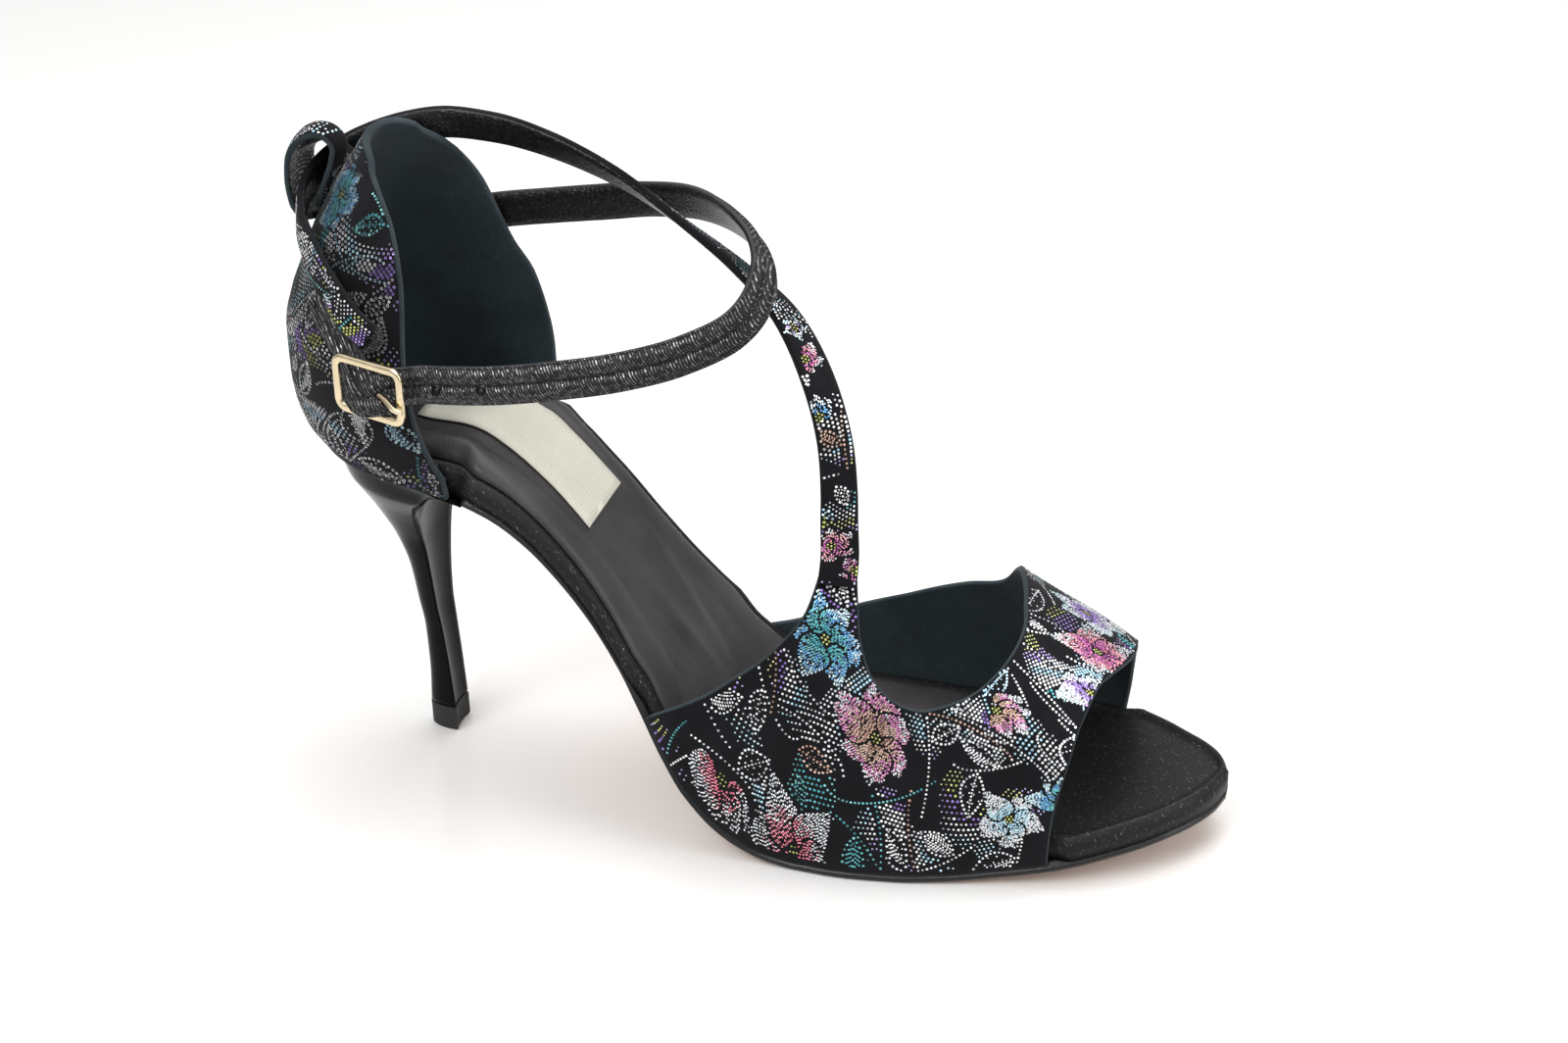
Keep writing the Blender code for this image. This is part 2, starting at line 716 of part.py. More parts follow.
def make_label(material, collection):
    rings = []
    first = along(0.152)
    last = along(0.346)
    for x in [first] + [x for x in sole_stations() if first + 0.001 < x < last]:
        low = sock_top(x) + GAP + 0.0002
        high = low + LABEL_THICKNESS
        centre = -0.018 * BALL_WIDTH
        half = LABEL_WIDTH / 2
        rings.append([Vector((x, centre + y, z)) for y, z in ((-half, low), (half, low), (half, high), (-half, high))])
    return loft("sock_label", rings, material, collection)


def heel_ring(height, back, breast, half, tilt, count=20):
    """A D section, round behind and slightly hollow at the breast, leaning to the seat's slope."""
    ring = []
    reference = sole_height((back + breast) / 2)
    for i in range(count + 1):
        angle = -math.pi / 2 + math.pi * i / count
        side = 1 if angle > 0 else -1
        x = breast - (breast - back) * max(math.cos(angle), 0.0) ** (2 / SEAT_ROUNDNESS)
        y = side * half * abs(math.sin(angle)) ** (2 / SEAT_ROUNDNESS)
        ring.append(Vector((x, y, height + tilt * (sole_height(x) - reference))))
    hollow = min(half * 0.12, 0.0016)
    for share in (0.6, 0.2, -0.2, -0.6):
        x = breast - hollow * (1 - share * share)
        ring.append(Vector((x, half * share, height + tilt * (sole_height(x) - reference))))
    return ring


def make_heel(material, collection):
    levels = column(HEEL_TABLE, 0)
    curves = [curve_through(levels, column(HEEL_TABLE, i)) for i in range(1, 5)]
    rings = []
    for level in np.linspace(levels[0], levels[-1], 24):
        back, breast, half, tilt = (c(level) for c in curves)
        seat_mid = sole_height((back + breast) / 2)
        height = level * HEEL_HEIGHT
        if level > 0.9:
            blend = (level - 0.9) / (levels[-1] - 0.9)
            height = (1 - blend) * height + blend * (seat_mid - 0.00005)
        rings.append(heel_ring(height, back, breast, half, tilt))
    return loft("heel", rings, material, collection)


def make_heel_tip(material, collection):
    first = HEEL_TABLE[0]
    rings = []
    for height, grow in ((0.0, -0.0002), (0.0004, 0.0001), (TIP_HEIGHT - 0.0006, 0.0001), (TIP_HEIGHT - GAP, 0.0)):
        rings.append(heel_ring(height, first[1] - grow, first[2] + grow, first[3] + grow, 0.0, 16))
    return loft("heel_tip", rings, material, collection)


def strap_frames(table, count):
    """Points of a strap with its width and outward directions."""
    rows = []
    for row in table:
        centre = (along(row[0]), row[1] * BALL_WIDTH, row[2] * COUNTER_HEIGHT)
        inner = (along(row[3]), row[4] * BALL_WIDTH, row[5] * COUNTER_HEIGHT)
        rows.append((*centre, *inner))
    path = path_through(rows, count)
    centres = path[:, :3]
    tangents = np.gradient(centres, axis=0)
    tangents /= np.linalg.norm(tangents, axis=1)[:, None]
    outward = centres - path[:, 3:]
    outward -= tangents * np.sum(outward * tangents, axis=1)[:, None]
    outward /= np.linalg.norm(outward, axis=1)[:, None]
    across = np.cross(tangents, outward)
    return centres, across, outward


def strap_profile(width, thickness, groove):
    """Half round edges, a flat back and, on the ankle strap, a groove between two pads."""
    w = width / 2
    t = thickness / 2
    top = [(0.86, 0.86), (0.5, 1.0), (0.0, 1.0 - groove), (-0.5, 1.0), (-0.86, 0.86)]
    points = [(w, 0.0)]
    points += [(w * a, t * b) for a, b in top]
    points += [(-w, 0.0), (-w * 0.9, -t * 0.9), (w * 0.9, -t * 0.9)]
    return points


def make_strap(name, table, width, thickness, groove, count, taper, material, collection):
    centres, across, outward = strap_frames(table, count)
    profile = strap_profile(width, thickness, groove)
    rings = []
    for i, centre in enumerate(centres):
        ring = []
        share = taper(i / (count - 1))
        for a, b in profile:
            ring.append(Vector(centre + across[i] * a * share + outward[i] * b))
        rings.append(ring)
    return loft(name, rings, material, collection)


def floral_taper(share):
    """Wide where it leaves the vamp, narrow at the ankle, narrower still at the buckle."""
    flare = max(1 - share / 0.16, 0.0)
    tail = max((share - 0.9) / 0.1, 0.0)
    return 1.0 + 0.12 * flare - 0.12 * tail


def ankle_taper(share):
    """Full width round the ankle, a little narrower past the buckle, with a rounded end."""
    tail = min(max((share - 0.88) / 0.05, 0.0), 1.0)
    end = max((share - 0.975) / 0.025, 0.0)
    return (1.0 - 0.28 * tail) * math.sqrt(max(1 - (end * 0.92) ** 2, 0.05))


def make_loop(material, collection):
    """A folded tab that stands off the back of the cage and lets the strap run through."""
    rows = [(along(a), h * COUNTER_HEIGHT, 0.0) for a, h in LOOP_TABLE]
    path = path_through(rows, 22)
    tangents = np.gradient(path[:, :2], axis=0)
    tangents /= np.linalg.norm(tangents, axis=1)[:, None]
    rings = []
    for i, (x, z, _) in enumerate(path):
        normal = np.array([-tangents[i][1], tangents[i][0]])
        share = i / (len(path) - 1)
        half = LOOP_WIDTH / 2 * (1.0 + 0.15 * math.sin(share * math.pi))
        ring = []
        for side, depth in ((-1, -1), (-1, 1), (-0.4, 1), (0.4, 1), (1, 1), (1, -1), (0.4, -1), (-0.4, -1)):
            curl = 0.0012 * (1 - abs(side))
            offset = normal * (LOOP_THICKNESS / 2 * depth + curl)
            ring.append(Vector((x + offset[0], side * half, z + offset[1])))
        rings.append(ring)
    return loft("back_loop", rings, material, collection)


BUCKLE_CENTRE = Vector((along(0.1480), -0.4450 * BALL_WIDTH, 0.6935 * COUNTER_HEIGHT))
BUCKLE_PITCH = math.radians(14.0)
BUCKLE_YAW = math.radians(17.0)


def buckle_place(u, v, out):
    """A point of the buckle's own plane, u to the front, v up, out from the foot."""
    c = math.cos(BUCKLE_PITCH)
    s = math.sin(BUCKLE_PITCH)
    forward = u * c + v * s
    lean = forward * math.sin(BUCKLE_YAW)
    return BUCKLE_CENTRE + Vector((forward * math.cos(BUCKLE_YAW), -out - lean, -u * s + v * c))


def bar_loft(name, path, radius, material, collection, closed_path, sides=8):
    """A round bar along a line given in the buckle's own plane."""
    path = np.array(path, float)
    rings = []
    count = len(path)
    for i in range(count):
        before = path[(i - 1) % count] if closed_path or i else path[i]
        after = path[(i + 1) % count] if closed_path or i < count - 1 else path[i]
        tangent = Vector(after - before).normalized()
        side = Vector((0, 0, 1))
        other = tangent.cross(side).normalized()
        ring = []
        for k in range(sides):
            angle = 2 * math.pi * k / sides
            offset = side * math.cos(angle) * radius[i] * 0.8 + other * math.sin(angle) * radius[i]
            spot = Vector(path[i]) + offset
            ring.append(buckle_place(spot.x, spot.y, spot.z))
        rings.append(ring)
    return loft(name, rings, material, collection, closed_path)


def make_buckle(material, collection):
    half_u = (BUCKLE_LENGTH - BUCKLE_BAR) / 2
    half_v = (BUCKLE_WIDTH - BUCKLE_BAR) / 2
    corner = 0.0020
    path = []
    for su, sv, start in ((1, 1, 0), (-1, 1, 90), (-1, -1, 180), (1, -1, 270)):
        for step in range(5):
            angle = math.radians(start + 90 * step / 4)
            u = su * (half_u - corner) + corner * math.cos(angle)
            v = sv * (half_v - corner) + corner * math.sin(angle)
            path.append((u, v, 0.0))
    radius = [BUCKLE_BAR / 2] * len(path)
    return bar_loft("buckle_frame", path, radius, material, collection, True)


def prong_path():
    """The pin leaves the rear bar behind the strap, comes up through it and lies on the front bar."""
    half_u = (BUCKLE_LENGTH - BUCKLE_BAR) / 2
    return (
        (-half_u + 0.0020, 0.0012, -0.0008),
        (-half_u * 0.30, 0.0004, -0.0008),
        (half_u * 0.25, -0.0006, -0.0002),
        (half_u - 0.0032, -0.0014, 0.0009),
        (half_u - 0.0018, -0.0018, 0.0016),
        (half_u, -0.0022, 0.0019),
        (half_u + 0.0012, -0.0024, 0.0016),
    )


def make_prong(material, collection):
    radius = (0.0006, 0.0007, 0.0007, 0.0008, 0.0008, 0.0007, 0.0004)
    return bar_loft("buckle_prong", prong_path(), radius, material, collection, False)


def punch_holes(strap, material, cutters):
    """Opens the strap for the pin, and punches the spare holes."""
    tools = [bar_loft("pin_cutter", prong_path(), [0.00115] * 7, material, cutters, False)]
    for name, share, height in (("hole_cutter_a", 0.2195, 0.6965), ("hole_cutter_b", 0.2670, 0.7060)):
        rings = []
        for y in (-0.38, -0.48):
            ring = []
            for k in range(12):
                angle = 2 * math.pi * k / 12
                x = along(share) + SPARE_HOLE / 2 * math.cos(angle)
                z = height * COUNTER_HEIGHT + SPARE_HOLE / 2 * math.sin(angle)
                ring.append(Vector((x, y * BALL_WIDTH, z)))
            rings.append(ring)
        tools.append(loft(name, rings, material, cutters))
    for tool in tools:
        tool.hide_render = True
        tool.display_type = "WIRE"
        cut = strap.modifiers.new(tool.name, "BOOLEAN")
        cut.operation = "DIFFERENCE"
        cut.solver = "EXACT"
        cut.use_self = True
        cut.object = tool


def centre_on_floor(parts, tools):
    """Hangs the parts from one empty so that the shoe stands at the origin."""
    bpy.context.view_layer.update()
    graph = bpy.context.evaluated_depsgraph_get()
    low = np.full(3, np.inf)
    high = np.full(3, -np.inf)
    for part in parts:
        mesh = part.evaluated_get(graph).to_mesh()
        for vertex in mesh.vertices:
            low = np.minimum(low, vertex.co)
            high = np.maximum(high, vertex.co)
        part.evaluated_get(graph).to_mesh_clear()
    stand = bpy.data.objects.new("shoe_origin", None)
    parts[0].users_collection[0].objects.link(stand)
    stand.location = (-(low[0] + high[0]) / 2, -(low[1] + high[1]) / 2, -low[2])
    for part in parts + tools:
        part.parent = stand


def main():
    clear_scene()
    collection = bpy.data.collections.new("tango_shoe")
    bpy.context.scene.collection.children.link(collection)
    print_suede = colour_of("foil_print_suede", (0.05, 0.06, 0.07), 0.75, 0.0)
    counter_suede = colour_of("foil_print_counter", (0.05, 0.06, 0.07), 0.75, 0.0)
    strap_suede = colour_of("foil_print_strap", (0.05, 0.06, 0.07), 0.75, 0.0)
    loop_suede = colour_of("foil_print_loop", (0.05, 0.06, 0.07), 0.75, 0.0)
    shimmer = colour_of("shimmer_leather_strap", (0.03, 0.03, 0.03), 0.5, 0.0)
    shimmer_board = colour_of("shimmer_leather_board", (0.03, 0.03, 0.03), 0.5, 0.0)
    sole_leather = colour_of("sole_leather", (0.75, 0.5, 0.36), 0.6, 0.0)
    sock_leather = colour_of("sock_leather", (0.07, 0.065, 0.07), 0.55, 0.0)
    label_cloth = colour_of("label_cloth", (0.7, 0.7, 0.62), 0.8, 0.0)
    heel_gloss = colour_of("heel_gloss", (0.01, 0.01, 0.012), 0.12, 0.0)
    tip_rubber = colour_of("tip_rubber", (0.02, 0.02, 0.02), 0.6, 0.0)
    pale_gold = colour_of("pale_gold", (0.86, 0.78, 0.6), 0.2, 1.0)
    pin_gold = colour_of("pin_gold", (0.86, 0.78, 0.6), 0.2, 1.0)
    parts = [
        make_vamp(print_suede, collection),
        make_counter(counter_suede, collection),
        make_insole(shimmer_board, collection),
        make_outsole(sole_leather, collection),
        make_sock(sock_leather, collection),
        make_label(label_cloth, collection),
        make_heel(heel_gloss, collection),
        make_heel_tip(tip_rubber, collection),
        make_strap(
            "floral_strap", FLORAL_STRAP, STRAP_WIDTH, STRAP_THICKNESS, 0.0, 64, floral_taper, strap_suede, collection
        ),
        make_strap(
            "ankle_strap",
            ANKLE_STRAP,
            ANKLE_STRAP_WIDTH,
            ANKLE_STRAP_THICKNESS,
            0.35,
            72,
            ankle_taper,
            shimmer,
            collection,
        ),
        make_loop(loop_suede, collection),
        make_buckle(pale_gold, collection),
        make_prong(pin_gold, collection),
    ]
    cutters = bpy.data.collections.new("cutters")
    bpy.context.scene.collection.children.link(cutters)
    punch_holes(bpy.data.objects["ankle_strap"], shimmer, cutters)
    centre_on_floor(parts, list(cutters.objects))


main()
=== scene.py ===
"""Dresses the tango shoe: foil-printed suede, glittering straps, padded sock, lacquer and gold."""

import math
import random

import bmesh
import bpy
import numpy as np
from mathutils import Matrix, Vector
from mathutils.geometry import delaunay_2d_cdt


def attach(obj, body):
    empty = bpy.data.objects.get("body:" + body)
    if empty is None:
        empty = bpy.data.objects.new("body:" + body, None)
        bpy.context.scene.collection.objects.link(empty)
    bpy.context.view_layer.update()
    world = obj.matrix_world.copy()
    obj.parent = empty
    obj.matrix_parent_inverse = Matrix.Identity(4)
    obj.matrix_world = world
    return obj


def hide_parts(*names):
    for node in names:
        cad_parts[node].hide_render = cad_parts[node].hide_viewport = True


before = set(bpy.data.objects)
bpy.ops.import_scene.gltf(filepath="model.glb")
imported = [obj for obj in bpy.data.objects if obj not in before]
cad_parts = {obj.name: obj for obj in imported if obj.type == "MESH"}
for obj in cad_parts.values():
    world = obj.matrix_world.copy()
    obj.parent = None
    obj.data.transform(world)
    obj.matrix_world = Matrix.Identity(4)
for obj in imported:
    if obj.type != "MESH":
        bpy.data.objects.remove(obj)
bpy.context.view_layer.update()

# the shoe's own sizes, as in the source of its solids
ORIGIN = Vector((-0.10430752, 0.00067131, 0.0))
SHOE_LENGTH = 0.217
BALL_WIDTH = 0.079
HEEL_HEIGHT = 0.0808
INSTEP_HEIGHT = 0.104
COUNTER_HEIGHT = 0.1555
COUNTER_WIDTH = 0.057
BACK_X = -0.004
SEAT_BACK_X = 0.0034
SEAT_SIDE_X = 0.034
SEAT_ROUNDNESS = 2.2
BREAST_X = 0.0435
OUTSOLE_THICKNESS = 0.0016
INSOLE_THICKNESS = 0.0046
ROLL_RISE = 0.0011
ROLL_WIDTH = 0.0030
ROLL_RADIUS = 0.0021
VAMP_WALL = 0.0015
COUNTER_WALL = 0.0019
GAP = 0.0003
SOCK_THIN = 0.0011
SOCK_PAD_RISE = 0.0016
LABEL_WIDTH = 0.0222
VAMP_RIDGE_Y = 0.004
VAMP_ROUNDNESS = 2.3
STRAP_WIDTH = 0.0076
STRAP_THICKNESS = 0.0021
ANKLE_STRAP_WIDTH = 0.0087
ANKLE_STRAP_THICKNESS = 0.0024
BUCKLE_LENGTH = 0.0192
BUCKLE_WIDTH = 0.0136
BUCKLE_BAR = 0.0018
SPARE_HOLE = 0.0021
LOOP_WIDTH = 0.0120
LOOP_THICKNESS = 0.0015
AROUND_SPAN = 0.055
PRINT_SPAN = 0.080
TURN_SPAN = 0.042
SHEET_STEP = 0.0016

SOLE_TABLE = (
    # along, height, lateral, medial
    (0.000, 1.004, 0.325, 0.325),
    (0.065, 0.993, 0.325, 0.325),
    (0.111, 0.983, 0.325, 0.325),
    (0.157, 0.968, 0.328, 0.325),
    (0.203, 0.943, 0.332, 0.325),
    (0.249, 0.897, 0.336, 0.305),
    (0.286, 0.833, 0.344, 0.262),
    (0.318, 0.753, 0.354, 0.247),
    (0.350, 0.653, 0.366, 0.246),
    (0.387, 0.516, 0.397, 0.268),
    (0.415, 0.403, 0.441, 0.308),
    (0.442, 0.284, 0.480, 0.370),
    (0.465, 0.188, 0.497, 0.418),
    (0.493, 0.099, 0.498, 0.456),
    (0.521, 0.043, 0.496, 0.477),
    (0.553, 0.010, 0.497, 0.487),
    (0.585, 0.000, 0.501, 0.489),
    (0.622, 0.000, 0.506, 0.489),
    (0.682, 0.000, 0.491, 0.482),
    (0.737, 0.008, 0.463, 0.470),
    (0.793, 0.027, 0.430, 0.446),
    (0.843, 0.049, 0.401, 0.414),
    (0.871, 0.062, 0.372, 0.380),
    (0.899, 0.077, 0.335, 0.328),
    (0.926, 0.088, 0.289, 0.272),
    (0.954, 0.101, 0.228, 0.202),
    (0.979, 0.111, 0.153, 0.135),
    (0.993, 0.116, 0.085, 0.079),
    (1.000, 0.119, 0.022, 0.022),
)
RIDGE_TABLE = (
    # along, height
    (0.41, 1.000),
    (0.48, 0.913),
    (0.571, 0.798),
    (0.618, 0.736),
    (0.664, 0.675),
    (0.710, 0.610),
    (0.779, 0.512),
    (0.834, 0.452),
    (0.894, 0.388),
    (0.940, 0.345),
)
VAMP_BACK_EDGE = (
    # along, around
    (0.421, -1.000),
    (0.462, -0.864),
    (0.494, -0.779),
    (0.520, -0.713),
    (0.542, -0.659),
    (0.565, -0.586),
    (0.583, -0.505),
    (0.590, -0.430),
    (0.594, -0.349),
)
THROAT_EDGE = (
    # along, around
    (0.627, -0.316),
    (0.632, -0.379),
    (0.642, -0.500),
    (0.652, -0.556),
    (0.662, -0.586),
    (0.683, -0.606),
    (0.705, -0.601),
    (0.729, -0.558),
    (0.752, -0.492),
    (0.772, -0.385),
    (0.784, -0.266),
    (0.788, -0.136),
    (0.780, 0.000),
    (0.766, 0.200),
    (0.752, 0.400),
    (0.731, 0.576),
    (0.688, 0.673),
    (0.626, 0.779),
    (0.561, 0.855),
    (0.510, 0.921),
    (0.459, 1.000),
)
TOE_EDGE = (
    # along, around
    (0.872, 1.000),
    (0.878, 0.861),
    (0.882, 0.714),
    (0.887, 0.500),
    (0.892, 0.250),
    (0.894, 0.005),
    (0.882, -0.132),
    (0.871, -0.240),
    (0.864, -0.380),
    (0.858, -0.500),
    (0.854, -0.612),
    (0.849, -0.712),
    (0.844, -0.801),
    (0.841, -0.887),
    (0.839, -1.000),
)
COUNTER_TABLE = (
    # height, back, half width, lateral front, medial front
    (0.490, 0.0360, 0.463, 0.206, 0.238),
    (0.512, 0.0341, 0.468, 0.204, 0.238),
    (0.550, 0.0110, 0.482, 0.192, 0.237),
    (0.590, 0.0010, 0.497, 0.183, 0.235),
    (0.630, -0.0009, 0.507, 0.178, 0.230),
    (0.700, 0.0000, 0.509, 0.174, 0.216),
    (0.750, 0.0095, 0.491, 0.174, 0.197),
    (0.800, 0.0250, 0.470, 0.174, 0.184),
    (0.850, 0.0410, 0.440, 0.170, 0.173),
    (0.895, 0.0600, 0.382, 0.159, 0.160),
    (0.930, 0.0750, 0.322, 0.141, 0.145),
    (0.952, 0.0860, 0.277, 0.126, 0.130),
    (0.970, 0.0940, 0.250, 0.114, 0.118),
    (0.984, 0.1010, 0.235, 0.103, 0.103),
)
HEEL_TABLE = (
    # level height, back x, breast x, half width, tilt toward the seat's slope
    (0.083, 0.0203, 0.0279, 0.0040, 0.00),
    (0.210, 0.0208, 0.0273, 0.0042, 0.00),
    (0.340, 0.0206, 0.0265, 0.0045, 0.00),
    (0.440, 0.0196, 0.0258, 0.0052, 0.00),
    (0.560, 0.0184, 0.0256, 0.0066, 0.02),
    (0.660, 0.0160, 0.0256, 0.0086, 0.06),
    (0.745, 0.0131, 0.0264, 0.0122, 0.14),
    (0.810, 0.0106, 0.0276, 0.0158, 0.30),
    (0.870, 0.0081, 0.0300, 0.0200, 0.50),
    (0.920, 0.0056, 0.0345, 0.0236, 0.75),
    (0.962, 0.0036, 0.0434, 0.0264, 1.00),
)
FLORAL_STRAP = (
    # along, across, height, inner point along, across, height
    (0.6120, -0.306, 0.424, 0.575, 0.05, 0.330),
    (0.6120, -0.275, 0.458, 0.575, 0.05, 0.360),
    (0.6110, -0.266, 0.510, 0.575, 0.05, 0.400),
    (0.6100, -0.257, 0.560, 0.560, 0.05, 0.450),
    (0.6040, -0.235, 0.628, 0.540, 0.05, 0.520),
    (0.5800, -0.172, 0.709, 0.500, 0.04, 0.600),
    (0.5400, -0.080, 0.774, 0.440, 0.02, 0.650),
    (0.4850, 0.016, 0.816, 0.380, 0.00, 0.700),
    (0.4160, 0.105, 0.856, 0.330, 0.00, 0.760),
    (0.3330, 0.190, 0.902, 0.260, 0.00, 0.830),
    (0.2560, 0.240, 0.930, 0.210, 0.00, 0.880),
    (0.1900, 0.262, 0.943, 0.160, 0.00, 0.915),
    (0.1350, 0.252, 0.945, 0.130, 0.00, 0.925),
    (0.0850, 0.170, 0.936, 0.140, 0.00, 0.920),
    (0.0480, 0.060, 0.917, 0.150, 0.00, 0.905),
    (0.0360, -0.060, 0.896, 0.150, 0.00, 0.885),
    (0.0450, -0.173, 0.869, 0.145, 0.00, 0.860),
    (0.0710, -0.274, 0.840, 0.140, 0.00, 0.830),
    (0.1000, -0.352, 0.810, 0.142, 0.00, 0.803),
    (0.1310, -0.402, 0.774, 0.150, 0.00, 0.770),
    (0.1480, -0.410, 0.757, 0.156, 0.00, 0.754),
)
ANKLE_STRAP = (
    # along, across, height, inner point along, across, height
    (0.1100, 0.385, 0.765, 0.130, 0.00, 0.755),
    (0.1750, 0.385, 0.788, 0.170, 0.00, 0.770),
    (0.2380, 0.372, 0.806, 0.215, 0.00, 0.780),
    (0.3000, 0.350, 0.824, 0.240, 0.00, 0.790),
    (0.3580, 0.315, 0.843, 0.280, 0.00, 0.790),
    (0.4140, 0.245, 0.859, 0.300, 0.00, 0.790),
    (0.4680, 0.125, 0.863, 0.330, 0.00, 0.770),
    (0.5060, 0.000, 0.854, 0.340, 0.00, 0.750),
    (0.5235, -0.112, 0.838, 0.340, 0.00, 0.730),
    (0.5225, -0.202, 0.812, 0.330, 0.00, 0.710),
    (0.5070, -0.268, 0.788, 0.310, 0.00, 0.700),
    (0.4650, -0.330, 0.761, 0.300, 0.00, 0.700),
    (0.4080, -0.385, 0.740, 0.280, 0.00, 0.700),
    (0.3400, -0.415, 0.722, 0.260, 0.00, 0.700),
    (0.2750, -0.430, 0.708, 0.240, 0.00, 0.695),
    (0.2250, -0.427, 0.700, 0.218, 0.00, 0.692),
    (0.2030, -0.424, 0.697, 0.203, 0.00, 0.694),
    (0.1890, -0.421, 0.692, 0.189, 0.00, 0.692),
    (0.1750, -0.429, 0.690, 0.175, 0.00, 0.684),
    (0.1570, -0.462, 0.680, 0.157, 0.00, 0.590),
    (0.1470, -0.467, 0.677, 0.147, 0.00, 0.570),
    (0.1385, -0.450, 0.695, 0.135, 0.00, 0.610),
    (0.1290, -0.420, 0.718, 0.130, 0.00, 0.660),
    (0.1110, -0.388, 0.745, 0.122, 0.00, 0.720),
    (0.0945, -0.364, 0.771, 0.112, 0.00, 0.765),
    (0.0835, -0.350, 0.795, 0.108, 0.00, 0.793),
)
LOOP_TABLE = (
    # along, height: from under the strap up its outside, over it and down again in front of it
    (0.0420, 0.856),
    (0.0310, 0.852),
    (0.0225, 0.862),
    (0.0185, 0.885),
    (0.0185, 0.915),
    (0.0225, 0.942),
    (0.0330, 0.963),
    (0.0480, 0.977),
    (0.0630, 0.976),
    (0.0715, 0.963),
    (0.0690, 0.942),
    (0.0610, 0.915),
    (0.0530, 0.890),
    (0.0470, 0.868),
)


# Curves and surfaces of the shoe


def column(table, index):
    return np.array([row[index] for row in table], float)


def slopes_of(xs, ys):
    step = np.diff(xs)
    rise = np.diff(ys) / step
    slopes = np.zeros(len(xs))
    slopes[0] = rise[0]
    slopes[-1] = rise[-1]
    for i in range(1, len(xs) - 1):
        if rise[i - 1] * rise[i] > 0:
            first = 2 * step[i] + step[i - 1]
            second = step[i] + 2 * step[i - 1]
            slopes[i] = (first + second) / (first / rise[i - 1] + second / rise[i])
    return slopes


def smoothed(t, span, low, high, slope, next_slope):
    """A value between two knots, t from 0 to 1, that leaves and meets them with the given slopes."""
    a = (1 + 2 * t) * (1 - t) ** 2 * low
    b = t * (1 - t) ** 2 * span * slope
    c = t * t * (3 - 2 * t) * high
    d = t * t * (t - 1) * span * next_slope
    return a + b + c + d


def curve_through(xs, ys):
    slopes = slopes_of(xs, ys)
    xs = [float(x) for x in xs]
    ys = [float(y) for y in ys]
    slopes = [float(m) for m in slopes]
    grid = np.array(xs)

    def value(x):
        x = min(max(x, xs[0]), xs[-1])
        i = int(min(max(np.searchsorted(grid, x) - 1, 0), len(xs) - 2))
        span = xs[i + 1] - xs[i]
        return smoothed((x - xs[i]) / span, span, ys[i], ys[i + 1], slopes[i], slopes[i + 1])

    return value


def run_of(points):
    """The length of a line up to each of its points."""
    return np.concatenate([[0], np.cumsum(np.linalg.norm(np.diff(points, axis=0), axis=1))])


def path_through(points, count):
    """Evenly spaced points on a smooth line through the given ones."""
    points = np.array(points, float)
    chord = run_of(points)
    tangents = [np.gradient(points[:, axis], chord) for axis in range(points.shape[1])]
    s = np.linspace(0, chord[-1], count * 8)
    i = np.clip(np.searchsorted(chord, s) - 1, 0, len(chord) - 2)
    span = chord[i + 1] - chord[i]
    t = (s - chord[i]) / span
    ends = zip(points.T, tangents)
    fine = np.stack([smoothed(t, span, v[i], v[i + 1], m[i], m[i + 1]) for v, m in ends], axis=1)
    run = run_of(fine[:, :3])
    even = np.linspace(0, run[-1], count)
    return np.stack([np.interp(even, run, fine[:, axis]) for axis in range(fine.shape[1])], axis=1)


def along(share):
    return BACK_X + share * SHOE_LENGTH


SOLE_X = along(column(SOLE_TABLE, 0))
sole_height = curve_through(SOLE_X, column(SOLE_TABLE, 1) * HEEL_HEIGHT)
lateral_width = curve_through(SOLE_X, column(SOLE_TABLE, 2) * BALL_WIDTH)
medial_width = curve_through(SOLE_X, column(SOLE_TABLE, 3) * BALL_WIDTH)
ridge_height = curve_through(along(column(RIDGE_TABLE, 0)), column(RIDGE_TABLE, 1) * INSTEP_HEIGHT)


def seat_share(x):
    if x >= SEAT_SIDE_X:
        return 1.0
    depth = min((SEAT_SIDE_X - x) / (SEAT_SIDE_X - SEAT_BACK_X), 1.0)
    return (1 - depth**SEAT_ROUNDNESS) ** (1 / SEAT_ROUNDNESS)


def half_width(x, side):
    width = lateral_width(x) if side < 0 else medial_width(x)
    return width * seat_share(x)


def vamp_point(x, around):
    side = -1 if around < 0 else 1
    angle = (1 - min(abs(around), 1.0)) * math.pi / 2
    reach = half_width(x, side) - side * VAMP_RIDGE_Y
    floor = sole_height(x) + OUTSOLE_THICKNESS + GAP
    out = math.cos(angle) ** (2 / VAMP_ROUNDNESS)
    up = math.sin(angle) ** (2 / VAMP_ROUNDNESS)
    return Vector((x, VAMP_RIDGE_Y + side * reach * out, floor + (ridge_height(x) - floor) * up))


COUNTER_Z = column(COUNTER_TABLE, 0) * COUNTER_HEIGHT
counter_back = curve_through(COUNTER_Z, along(column(COUNTER_TABLE, 1)))
counter_half = curve_through(COUNTER_Z, column(COUNTER_TABLE, 2) * COUNTER_WIDTH)
lateral_front = curve_through(COUNTER_Z, along(column(COUNTER_TABLE, 3)))
medial_front = curve_through(COUNTER_Z, along(column(COUNTER_TABLE, 4)))


def counter_point(turn, z):
    side = -1 if turn < 0 else 1
    bend = min(abs(turn), 1.0)
    angle = bend * math.pi / 2
    depth = SEAT_SIDE_X - counter_back(z)
    x = SEAT_SIDE_X - depth * max(math.cos(angle), 0.0) ** (2 / SEAT_ROUNDNESS)
    x += max(abs(turn) - 1.0, 0.0) * TURN_SPAN
    y = side * counter_half(z) * math.sin(angle) ** (2 / SEAT_ROUNDNESS)
    return Vector((x, y, z))


